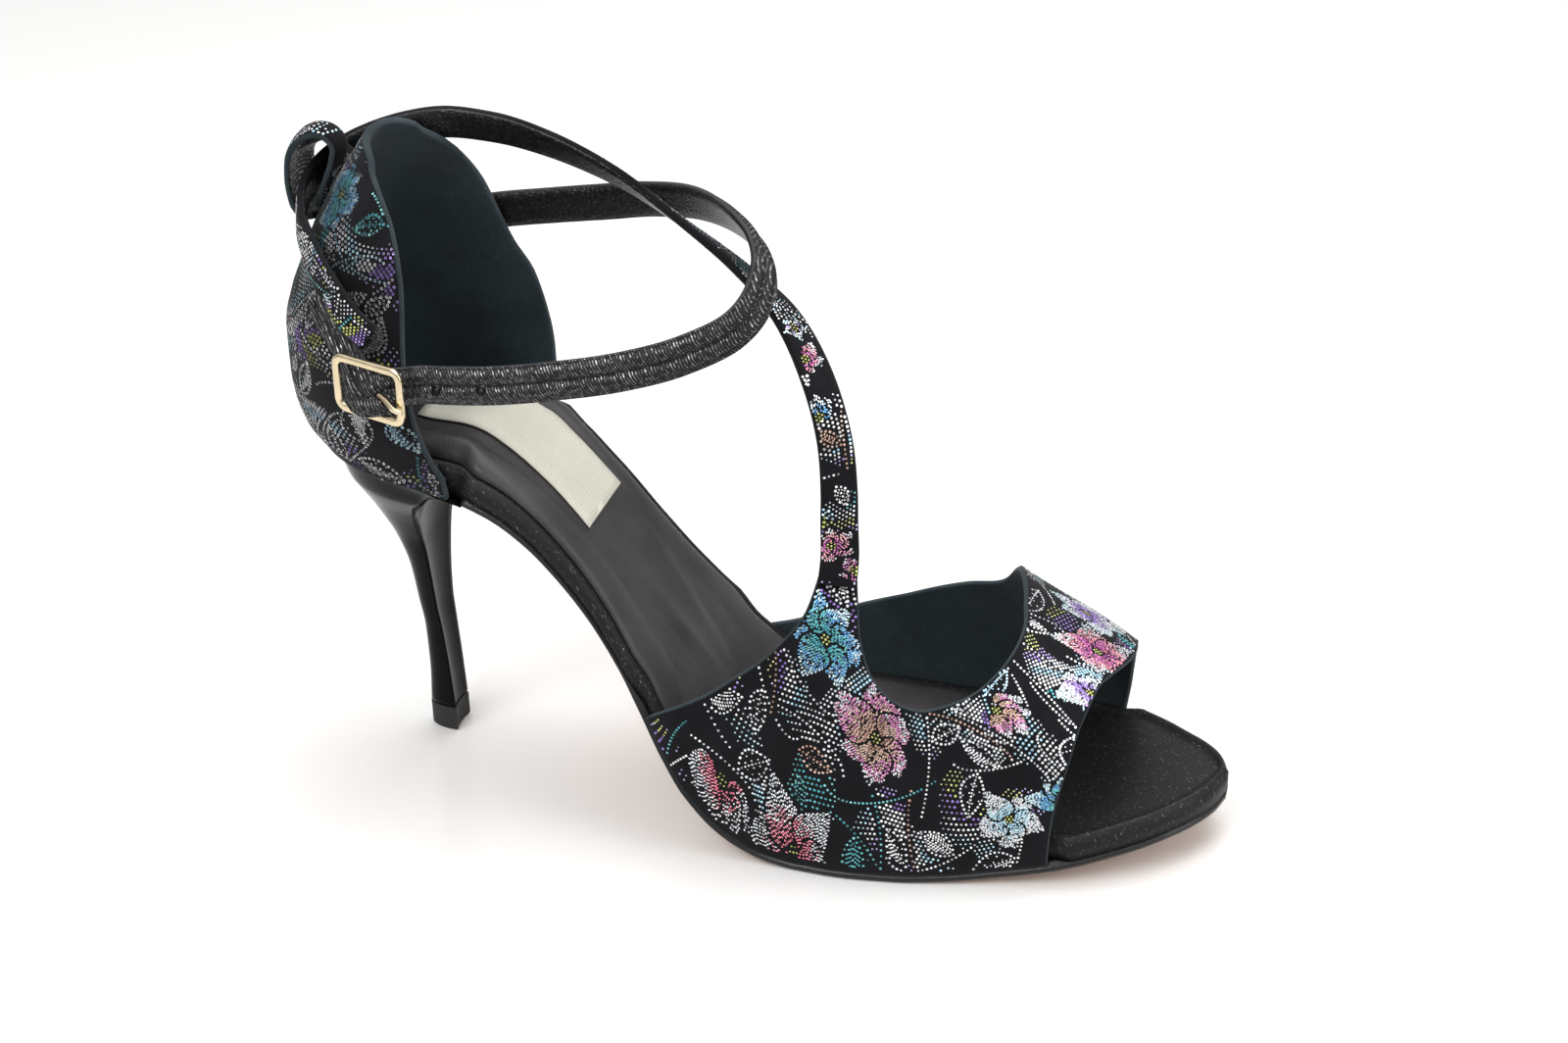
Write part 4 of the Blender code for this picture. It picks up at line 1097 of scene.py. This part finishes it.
def counter_outline(fine):
    low = COUNTER_Z[1]
    shoulder = COUNTER_Z[-3]
    heights = np.linspace(low, shoulder, 18 * fine)
    lateral = front_outline(lateral_front, -1, heights)
    medial = front_outline(medial_front, 1, heights)
    first = lateral[-1][0]
    last = medial[-1][0]
    arch = []
    for i in range(1, 12 * fine):
        share = i / (12 * fine)
        lift = (1 - abs(2 * share - 1) ** 2.2) ** 0.6
        arch.append((first + (last - first) * share, shoulder + (COUNTER_Z[-1] - shoulder) * lift))
    start = lateral[0][0] / TURN_SPAN
    end = medial[0][0] / TURN_SPAN
    foot = [(turn * TURN_SPAN, seat_edge(turn)) for turn in np.linspace(end, start, 34 * fine)]
    return lateral[1:] + arch + list(reversed(medial[1:])) + foot


def on_counter(s, t):
    return counter_point(s / TURN_SPAN, t)


vamp_edge = vamp_outline(SHEET_STEP)
vamp_sheet = sheet(vamp_edge, on_vamp, SHEET_STEP)
vamp = finished("vamp_suede", vamp_sheet, UPPER, ["vamp"])
walled(vamp, VAMP_WALL, 0.00035)
vamp_page = [(s, t * PRINT_SPAN / AROUND_SPAN) for s, t in vamp_edge]
foil_mesh("vamp_foil", printed(vamp_page, 0.0006, 11, 15, 0.0100, 50, 0.0090, 1000, -0.05), on_vamp_print)

cage_edge = counter_outline(2)
cage_sheet = sheet(cage_edge, on_counter, SHEET_STEP)
cage = finished("cage_suede", cage_sheet, UPPER, ["heel_counter"])
walled(cage, COUNTER_WALL, 0.0004)
foil_mesh("cage_foil", printed(cage_edge, 0.0006, 23, 9, 0.0095, 40, 0.0085, 800, -0.1), on_counter)


# Sole, insole, sock and label


def eased(value):
    value = min(max(value, 0.0), 1.0)
    return value * value * (3 - 2 * value)


def inset_at(x, side):
    """How far the insole keeps in from the sole's edge, easing where the uppers start and end."""
    hidden = COUNTER_WALL + GAP + 0.0005
    covered = VAMP_WALL + GAP + 0.0007
    cage_end = lateral_front(sole_height(BREAST_X)) if side < 0 else medial_front(sole_height(BREAST_X))
    vamp_start = along(VAMP_BACK_EDGE[0][0]) if side < 0 else along(THROAT_EDGE[-1][0])
    vamp_end = along(TOE_EDGE[-1][0]) if side < 0 else along(TOE_EDGE[0][0])
    under_cage = hidden * eased(1 - (x - cage_end) / 0.006)
    before = eased(1 + (x - vamp_start) / 0.006)
    after = eased(1 - (x - vamp_end) / 0.006)
    return max(0.0002, under_cage, covered * min(before, after))


def sole_stations():
    first = SEAT_BACK_X + 0.0026
    last = along(1.0)
    marks = [first + (SEAT_SIDE_X - first) * (i / 20) ** 1.6 for i in range(20)]
    marks += list(np.linspace(SEAT_SIDE_X, along(0.9), 130))
    marks += [along(0.9) + (last - along(0.9)) * math.sin(i / 30 * math.pi / 2) for i in range(1, 31)]
    kept = [x for x in marks if abs(x - BREAST_X) > 3 * GAP]
    return sorted(kept + [BREAST_X - GAP, BREAST_X + GAP / 3])


STATIONS = sole_stations()


def insole_bottom(x):
    return GAP if x < BREAST_X else OUTSOLE_THICKNESS + GAP


def cushion(x):
    """The soft rise of the sock over the heel's seat."""
    return 0.0017 * math.exp(-(((x - along(0.205)) / 0.011) ** 2))


def insole_top(x):
    """Level over the sole's line, without the step that the sole's end makes underneath."""
    return GAP + OUTSOLE_THICKNESS * eased((x - BREAST_X + 0.016) / 0.018) + INSOLE_THICKNESS


def inner_width(x, side):
    inset = inset_at(x, side)
    if x < SEAT_SIDE_X:
        width = lateral_width(x) if side < 0 else medial_width(x)
        depth = min((SEAT_SIDE_X - x) / (SEAT_SIDE_X - SEAT_BACK_X - inset), 1.0)
        return (width - inset) * (1 - depth**SEAT_ROUNDNESS) ** (1 / SEAT_ROUNDNESS)
    return half_width(x, side) - inset


def edge_slope(x, side):
    step = 0.0004
    ahead = inner_width(min(x + step, along(1.0)), side)
    return (ahead - inner_width(x - step, side)) / (2 * step)


TOP_SHARES = [math.sin(math.pi / 2 * k / 22) for k in range(22, -23, -1)]


def insole_ring(x):
    """A flat underside, and a top that rolls over at the edge with a soft channel inside the roll."""
    base = sole_height(x)
    bottom = insole_bottom(x)
    top = insole_top(x)
    widths = {side: max(inner_width(x, side), 0.0004) for side in (-1, 1)}
    lean = {side: math.hypot(1, edge_slope(x, side)) for side in (-1, 1)}
    ring = []
    for share in (-0.995, -0.9, 0.0, 0.9, 0.995):
        ring.append(Vector((x, share * widths[1 if share > 0 else -1], base + bottom)))
    for share in TOP_SHARES:
        side = 1 if share > 0 else -1
        y = share * widths[side]
        depth = (widths[side] - abs(y)) / lean[side]
        drop = max(1 - depth / ROLL_RADIUS, 0.0)
        fall = (top - bottom - 0.0008) * 0.62 * (1 - math.sqrt(max(1 - drop * drop, 0.0)))
        crown = ROLL_RISE * math.exp(-(((depth - ROLL_WIDTH * 0.62) / (ROLL_WIDTH * 0.42)) ** 2))
        ring.append(Vector((x, y, base + top - fall + crown)))
    return ring


rings = [insole_ring(x) for x in STATIONS[:-1]]
finished("insole_cover", loft(rings), [SHIMMER_BOARD], ["insole_board"])

rings = []
for x in [x for x in STATIONS if x > BREAST_X]:
    lateral = max(half_width(x, -1), 0.0004)
    medial = max(half_width(x, 1), 0.0004)
    base = sole_height(x)
    ring = []
    for share in (1.0, 0.992, 0.975, 0.9, 0.5, 0.0, -0.5, -0.9, -0.975, -0.992, -1.0):
        width = lateral if share > 0 else medial
        lift = {1.0: 0.00055, 0.992: 0.0002}.get(abs(share), 0.0)
        ring.append(Vector((x, -share * width, base + lift)))
    for share in (-1.0, -0.5, 0.0, 0.5, 1.0):
        width = lateral if share > 0 else medial
        ring.append(Vector((x, -share * width, base + OUTSOLE_THICKNESS)))
    rings.append(ring)
finished("leather_sole", loft(rings, False, slots(2, 7)), [SOLE_TAN, SOLE_EDGE], ["outsole"])


def pad_share(x):
    return min(max((along(0.62) - x) / (0.25 * SHOE_LENGTH), 0.0), 1.0)


def sock_width(x, side, start):
    inset = 0.0036
    if x >= SEAT_SIDE_X:
        return half_width(x, side) - inset - inset_at(x, side)
    width = (lateral_width(x) if side < 0 else medial_width(x)) - inset - 0.0027
    depth = min((SEAT_SIDE_X - x) / (SEAT_SIDE_X - start + 0.0004), 1.0)
    return max(width * (1 - depth**SEAT_ROUNDNESS) ** (1 / SEAT_ROUNDNESS), 0.002)


# soft troughs and ridges of the sock: along, across, length, width, turn, rise
SOCK_FOLDS = (
    (0.43, -0.10, 0.030, 0.0022, 0.25, -0.0009),
    (0.46, -0.04, 0.034, 0.0024, 0.32, 0.0008),
    (0.50, -0.12, 0.026, 0.0020, 0.20, -0.0008),
    (0.52, 0.06, 0.030, 0.0026, -0.15, -0.0008),
    (0.56, -0.02, 0.032, 0.0026, 0.10, 0.0008),
    (0.60, -0.16, 0.024, 0.0022, 0.12, -0.0008),
    (0.37, 0.10, 0.022, 0.0024, -0.25, 0.0006),
)


def sock_fold(x, y):
    rise = 0.0
    for share, across, length, width, turn, height in SOCK_FOLDS:
        dx = x - along(share)
        dy = y - across * BALL_WIDTH
        u = dx * math.cos(turn) + dy * math.sin(turn)
        v = -dx * math.sin(turn) + dy * math.cos(turn)
        rise += height * math.exp(-((u / length) ** 2) - (v / width) ** 2)
    return rise


rings = []
sock_start = SEAT_BACK_X + 0.0065
sock_end = along(0.755)
for x in [sock_start] + [x for x in STATIONS if sock_start + 0.0006 < x < sock_end]:
    lateral = sock_width(x, -1, sock_start)
    medial = sock_width(x, 1, sock_start)
    base = sole_height(x) + insole_top(x) + GAP
    ring = [Vector((x, -lateral, base)), Vector((x, medial, base))]
    for k in range(49):
        share = 1 - k / 24
        width = medial if share > 0 else lateral
        pad = max(1 - ((abs(share) - 0.81) / 0.2) ** 2, 0.0) ** 0.8
        thin = SOCK_THIN * (0.35 if abs(share) > 0.999 else 1.0)
        y = share * width
        middle = min((1 - abs(share)) * 5, 1)
        lift = SOCK_PAD_RISE * pad * pad_share(x) + (sock_fold(x, y) + cushion(x)) * middle
        ring.append(Vector((x, y, base + thin + lift)))
    rings.append(ring)
finished("padded_sock", loft(rings), [SOCK], ["sock_lining"])


def sock_top(x):
    return sole_height(x) + insole_top(x) + GAP + SOCK_THIN + cushion(x)


rings = []
label_start = along(0.136)
label_end = along(0.338)
for x in [label_start] + [x for x in STATIONS if label_start + 0.0005 < x < label_end]:
    low = sock_top(x) + GAP + 0.0001
    high = low + 0.0005
    centre = -0.018 * BALL_WIDTH + 0.162 * (label_end - x)
    half = LABEL_WIDTH / 2
    ring = [Vector((x, centre - half, low)), Vector((x, centre + half, low))]
    for k in range(9):
        share = 1 - k / 4
        ring.append(Vector((x, centre + share * half * 0.995, high - (0.00015 if abs(share) == 1 else 0.0))))
    rings.append(ring)
finished("bare_label", loft(rings), [LABEL], ["sock_label"])


# Heel


def heel_ring(height, back, breast, half, tilt, count=40):
    ring = []
    reference = sole_height((back + breast) / 2)
    for i in range(count + 1):
        angle = -math.pi / 2 + math.pi * i / count
        side = 1 if angle > 0 else -1
        x = breast - (breast - back) * max(math.cos(angle), 0.0) ** (2 / SEAT_ROUNDNESS)
        y = side * half * abs(math.sin(angle)) ** (2 / SEAT_ROUNDNESS)
        ring.append(Vector((x, y, height + tilt * (sole_height(x) - reference))))
    hollow = min(half * 0.12, 0.0016)
    for k in range(1, 12):
        share = 1 - k / 6
        x = breast - hollow * (1 - share * share)
        ring.append(Vector((x, half * share, height + tilt * (sole_height(x) - reference))))
    return ring


levels = column(HEEL_TABLE, 0)
heel_curves = [curve_through(levels, column(HEEL_TABLE, i)) for i in range(1, 5)]
rings = []
for level in np.linspace(levels[0], levels[-1], 90):
    back, breast, half, tilt = (c(level) for c in heel_curves)
    seat_mid = sole_height((back + breast) / 2)
    height = level * HEEL_HEIGHT
    if level > 0.9:
        blend = (level - 0.9) / (levels[-1] - 0.9)
        height = (1 - blend) * height + blend * (seat_mid - 0.00005)
    rings.append(heel_ring(height, back, breast, half, tilt))
finished("lacquered_heel", loft(rings), [HEEL], ["heel"])


# Straps


def strap_frames(table, count):
    rows = []
    for row in table:
        centre = (along(row[0]), row[1] * BALL_WIDTH, row[2] * COUNTER_HEIGHT)
        inner = (along(row[3]), row[4] * BALL_WIDTH, row[5] * COUNTER_HEIGHT)
        rows.append((*centre, *inner))
    path = path_through(rows, count)
    centres = path[:, :3]
    tangents = np.gradient(centres, axis=0)
    tangents /= np.linalg.norm(tangents, axis=1)[:, None]
    outward = centres - path[:, 3:]
    outward -= tangents * np.sum(outward * tangents, axis=1)[:, None]
    outward /= np.linalg.norm(outward, axis=1)[:, None]
    across = np.cross(tangents, outward)
    return centres, across, outward


def floral_taper(share):
    flare = max(1 - share / 0.16, 0.0)
    tail = max((share - 0.9) / 0.1, 0.0)
    return 1.0 + 0.12 * flare - 0.12 * tail


def ankle_taper(share):
    tail = min(max((share - 0.88) / 0.05, 0.0), 1.0)
    end = max((share - 0.975) / 0.025, 0.0)
    return (1.0 - 0.28 * tail) * math.sqrt(max(1 - (end * 0.92) ** 2, 0.05))


def strap_rings(table, profile, count, taper):
    centres, across, outward = strap_frames(table, count)
    rings = []
    for i, centre in enumerate(centres):
        share = taper(i / (count - 1))
        rings.append([Vector(centre + across[i] * a * share + outward[i] * b) for a, b in profile])
    return rings


def floral_profile():
    """Cover over the top and one edge; strip index 0 to 11 is the printed face."""
    w = STRAP_WIDTH / 2
    t = STRAP_THICKNESS / 2
    points = []
    for k in range(13):
        share = 1 - k / 6
        points.append((w * share, t * (1.0 - 0.35 * abs(share) ** 5)))
    under = ((1.0, 0.2), (0.98, -0.5), (0.9, -0.92), (0.4, -1.0))
    points += [(-w * a, t * b) for a, b in under]
    return points + [(w * a, t * b) for a, b in reversed(under)]


def ankle_profile():
    """Two soft pads with a sewn groove between them and a raw edge at one side."""
    w = ANKLE_STRAP_WIDTH / 2
    t = ANKLE_STRAP_THICKNESS / 2
    points = []
    for k in range(25):
        share = 1 - k / 12
        pad = abs(math.sin(math.pi * min(abs(share) / 0.86, 1.0))) ** 0.75
        points.append((w * share, t * 0.3 if abs(share) > 0.86 else t * (0.25 + 0.95 * pad)))
    under = ((1.0, -0.3), (0.95, -0.8), (0.5, -0.92))
    points += [(-w * a, t * b) for a, b in under] + [(0.0, -t * 0.95)]
    return points + [(w * a, t * b) for a, b in reversed(under)]


floral_rings = strap_rings(FLORAL_STRAP, floral_profile(), 320, floral_taper)
floral_skin = loft(floral_rings, False, slots(0, 13, (19, 20)))
strap_materials = [PRINT_BASE, STRAP_LINING, CUT_EDGE]
finished("printed_strap", floral_skin, strap_materials, ["floral_strap"])

floral_centres, floral_across, floral_outward = strap_frames(FLORAL_STRAP, 640)
floral_run = run_of(floral_centres)


def on_floral(s, t):
    """The strap's outer face, s along it and t across it."""
    at = float(np.interp(s, floral_run, np.arange(640)))
    i = min(int(at), 638)
    f = at - i
    centre = floral_centres[i] * (1 - f) + floral_centres[i + 1] * f
    across = floral_across[i] * (1 - f) + floral_across[i + 1] * f
    outward = floral_outward[i] * (1 - f) + floral_outward[i + 1] * f
    share = min(abs(t) / (STRAP_WIDTH / 2), 1.0)
    rise = STRAP_THICKNESS / 2 * (1.0 - 0.35 * share**5)
    return Vector(centre + across * t * floral_taper(at / 639) + outward * rise)


strap_page = strip_of(floral_run[-1], STRAP_WIDTH)
strap_marks = printed(strap_page, 0.0002, 37, 18, 0.0042, 30, 0.0055, 160, -0.2)
foil_mesh("strap_foil", strap_marks, on_floral, reverse=True)


def buckle_place(u, v, out):
    centre = Vector((along(0.1490), -0.4500 * BALL_WIDTH, 0.6870 * COUNTER_HEIGHT))
    pitch = math.radians(0.5)
    yaw = math.radians(17.0)
    c = math.cos(pitch)
    s = math.sin(pitch)
    forward = u * c + v * s
    lean = forward * math.sin(yaw)
    return centre + Vector((forward * math.cos(yaw), -out - lean, -u * s + v * c))


def soft_power(value, power):
    return math.copysign(abs(value) ** power, value)


def bar_rings(path, radius, closed_path, sides=14, flat=0.8):
    path = np.array(path, float)
    rings = []
    count = len(path)
    lobes = [2 * math.pi * k / sides for k in range(sides)]
    lobes = [(soft_power(math.cos(a), 0.7), soft_power(math.sin(a), 0.7)) for a in lobes]
    for i in range(count):
        before = path[(i - 1) % count] if closed_path or i else path[i]
        after = path[(i + 1) % count] if closed_path or i < count - 1 else path[i]
        tangent = Vector(after - before).normalized()
        side = Vector((0, 0, 1))
        other = tangent.cross(side).normalized()
        ring = []
        for deep, broad in lobes:
            spot = Vector(path[i]) + side * deep * radius[i] * flat + other * broad * radius[i]
            ring.append(buckle_place(spot.x, spot.y, spot.z))
        rings.append(ring)
    return rings


half_u = (BUCKLE_LENGTH - BUCKLE_BAR) / 2
half_v = (BUCKLE_WIDTH - BUCKLE_BAR) / 2
PIN = (
    (-half_u + 0.0020, 0.0012, -0.0008),
    (-half_u * 0.30, 0.0004, -0.0008),
    (half_u * 0.25, -0.0006, -0.0002),
    (half_u - 0.0032, -0.0014, 0.0009),
    (half_u - 0.0018, -0.0018, 0.0016),
    (half_u, -0.0022, 0.0019),
    (half_u + 0.0012, -0.0024, 0.0016),
)


def cut_with(target, tools):
    """Cuts the tools out of the target and keeps only the cut mesh."""
    for tool in tools:
        cut = target.modifiers.new(tool.name, "BOOLEAN")
        cut.operation = "DIFFERENCE"
        cut.solver = "EXACT"
        cut.use_self = True
        cut.object = tool
    bpy.context.view_layer.update()
    graph = bpy.context.evaluated_depsgraph_get()
    mesh = bpy.data.meshes.new_from_object(target.evaluated_get(graph))
    target.modifiers.clear()
    target.data = mesh
    for tool in tools:
        bpy.data.objects.remove(tool, do_unlink=True)


def tool_of(name, rings):
    """A cutter whose cut takes the second material of what it cuts."""
    mesh = mesh_of(name, loft(rings))
    mesh.polygons.foreach_set("material_index", [1] * len(mesh.polygons))
    return placed(name, mesh)


ankle_rings = strap_rings(ANKLE_STRAP, ankle_profile(), 340, ankle_taper)
ankle_skin = loft(ankle_rings, False, slots(0, 23, (24, 31)))
ankle_materials = [SHIMMER_STRAP, STRAP_LINING, RAW_EDGE]
ankle = finished("shimmer_strap", ankle_skin, ankle_materials, ["ankle_strap"])
tools = [tool_of("pin_cutter", bar_rings(PIN, [0.00115] * 7, False, 8))]
for share, height in ((0.2195, 0.6965), (0.2670, 0.7060)):
    hole = []
    for across, tilt in ((-0.38, 0.0018), (-0.48, -0.0018)):
        centre = Vector((along(share), across * BALL_WIDTH, height * COUNTER_HEIGHT + tilt))
        turns = [2 * math.pi * k / 20 for k in range(20)]
        hole.append([centre + Vector((math.cos(a), 0.0, math.sin(a))) * (SPARE_HOLE / 2) for a in turns])
    tools.append(tool_of("hole_cutter", hole))
cut_with(ankle, tools)

corner = 0.0020
frame_path = []
for su, sv, start in ((1, 1, 0), (-1, 1, 90), (-1, -1, 180), (1, -1, 270)):
    for step in range(13):
        angle = math.radians(start + 90 * step / 12)
        u = su * (half_u - corner) + corner * math.cos(angle)
        frame_path.append((u, sv * (half_v - corner) + corner * math.sin(angle), 0.0))
frame_rings = bar_rings(frame_path, [BUCKLE_BAR * 0.56] * len(frame_path), True, 16, 0.7)
finished("gold_frame", loft(frame_rings, True), [GOLD], ["buckle_frame"])
pin_line = path_through(PIN, 26)
pin_radii = (0.0006, 0.0007, 0.0007, 0.0008, 0.0008, 0.0007, 0.0004)
pin_radius = np.interp(np.linspace(0, 1, 26), np.linspace(0, 1, 7), pin_radii)
finished("gold_pin", loft(bar_rings(pin_line, pin_radius, False)), [GOLD], ["buckle_prong"])


# Back loop

def curled(x, side, z):
    """Draws the tab's far side in over the strap, so that the ring isn't open right through."""
    share = min(max((side + 0.4) / 1.2, 0.0), 1.0)
    level = min(max((z / COUNTER_HEIGHT - 0.925) / 0.02, 0.0), 1.0)
    pull = 0.82 * share * share * (3 - 2 * share) * level * level * (3 - 2 * level)
    return x + pull * (along(0.040) - x), z + pull * (0.942 * COUNTER_HEIGHT - z)


loop_path = path_through([(along(a), h * COUNTER_HEIGHT, 0.0) for a, h in LOOP_TABLE], 80)
loop_tangent = np.gradient(loop_path[:, :2], axis=0)
loop_tangent /= np.linalg.norm(loop_tangent, axis=1)[:, None]
loop_run = run_of(loop_path[:, :2])
rings = []
for i, (x, z, _) in enumerate(loop_path):
    normal = np.array([-loop_tangent[i][1], loop_tangent[i][0]])
    share = i / (len(loop_path) - 1)
    half = LOOP_WIDTH / 2 * (1.0 + 0.15 * math.sin(share * math.pi))
    ring = []
    for side, depth in [(1 - k / 5, 1) for k in range(11)] + [(-1 + k / 5, -1) for k in range(11)]:
        thick = LOOP_THICKNESS / 2 * depth * (1 - 0.2 * abs(side) ** 6)
        offset = normal * (thick + 0.0012 * (1 - side * side))
        curl = curled(x + offset[0], side, z + offset[1])
        ring.append(Vector((curl[0], side * half, curl[1])))
    rings.append(ring)
tab_skin = loft(rings, False, slots(-1, 9, (10, 21)))
finished("back_tab", tab_skin, [PRINT_BASE, SHIMMER_STRAP, CUT_EDGE], ["back_loop"])


def on_loop(s, t):
    at = float(np.interp(s, loop_run, np.arange(80)))
    i = min(int(at), 78)
    f = at - i
    x = loop_path[i][0] * (1 - f) + loop_path[i + 1][0] * f
    z = loop_path[i][1] * (1 - f) + loop_path[i + 1][1] * f
    normal = np.array([-loop_tangent[i][1], loop_tangent[i][0]])
    half = LOOP_WIDTH / 2 * (1.0 + 0.15 * math.sin(at / 79 * math.pi))
    side = t / (LOOP_WIDTH / 2)
    offset = normal * (LOOP_THICKNESS / 2 + 0.0012 * (1 - side * side))
    curl = curled(x + offset[0], side, z + offset[1])
    return Vector((curl[0], side * half, curl[1]))


tab_page = strip_of(loop_run[-1], LOOP_WIDTH)
foil_mesh("tab_foil", printed(tab_page, 0.0003, 41, 4, 0.0045, 8, 0.0055, 40, -0.2), on_loop)


# Carried-over solid: the rubber tip

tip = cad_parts["heel_tip"]
tip.data.materials.clear()
tip.data.materials.append(TIP)


# Floor, light and camera


bpy.ops.mesh.primitive_plane_add(size=6.0, location=(0, 0, -0.00005))
floor = bpy.context.object
floor.name = "floor"
white = (0.70, 0.695, 0.688, 1.0)
table = shader_of("white_table", Base_Color=white, Roughness=0.16, Specular_IOR_Level=0.35)[0]
floor.data.materials.append(table)

world = bpy.context.scene.world or bpy.data.worlds.new("studio")
bpy.context.scene.world = world
world.use_nodes = True
sky = world.node_tree.nodes["Background"]
around = node(world.node_tree, "ShaderNodeTexCoord").outputs["Generated"]
level = node(world.node_tree, "ShaderNodeSeparateXYZ", {0: around}).outputs["Z"]
tent = ramp(world.node_tree, level, (0.0, 0.16), (0.3, 0.42), (0.75, 1.0))
world.node_tree.links.new(tent, sky.inputs["Color"])
sky.inputs["Strength"].default_value = 1.05


def area_light(name, where, target, size, power):
    light = bpy.data.lights.new(name, "AREA")
    light.shape = "RECTANGLE"
    light.size, light.size_y = size
    light.energy = power
    made = placed(name, light)
    made.location = where
    made.rotation_euler = (Vector(target) - Vector(where)).to_track_quat("-Z", "Y").to_euler()


area_light("key", (-0.35, -0.75, 0.95), (0, 0, 0.05), (0.7, 0.5), 9.0)
area_light("top", (0.15, 0.35, 1.1), (0, 0, 0.03), (0.9, 0.7), 9.0)
area_light("side", (0.95, -0.25, 0.5), (0, 0, 0.05), (0.4, 0.6), 4.0)

azimuth = math.radians(16.1)
elevation = math.radians(28.7)
roll = math.radians(-1.1)
flat = math.cos(elevation)
back = Vector((math.sin(azimuth) * flat, -math.cos(azimuth) * flat, math.sin(elevation)))
level_right = Vector((math.cos(azimuth), math.sin(azimuth), 0.0))
level_up = back.cross(level_right)
right = level_right * math.cos(roll) + level_up * math.sin(roll)
up = level_up * math.cos(roll) - level_right * math.sin(roll)
camera = placed("camera", bpy.data.cameras.new("camera"))
eye = Vector((0.25987, -0.51855, 0.36191)) + ORIGIN
turn = Matrix((right, up, back)).transposed().to_4x4()
camera.matrix_world = Matrix.Translation(eye) @ turn
camera.data.sensor_fit = "HORIZONTAL"
camera.data.sensor_width = 36.0
camera.data.lens = 2789.3 / 1600 * 36.0
camera.data.clip_start = 0.01
bpy.context.scene.camera = camera
bpy.context.scene.view_settings.view_transform = "Standard"
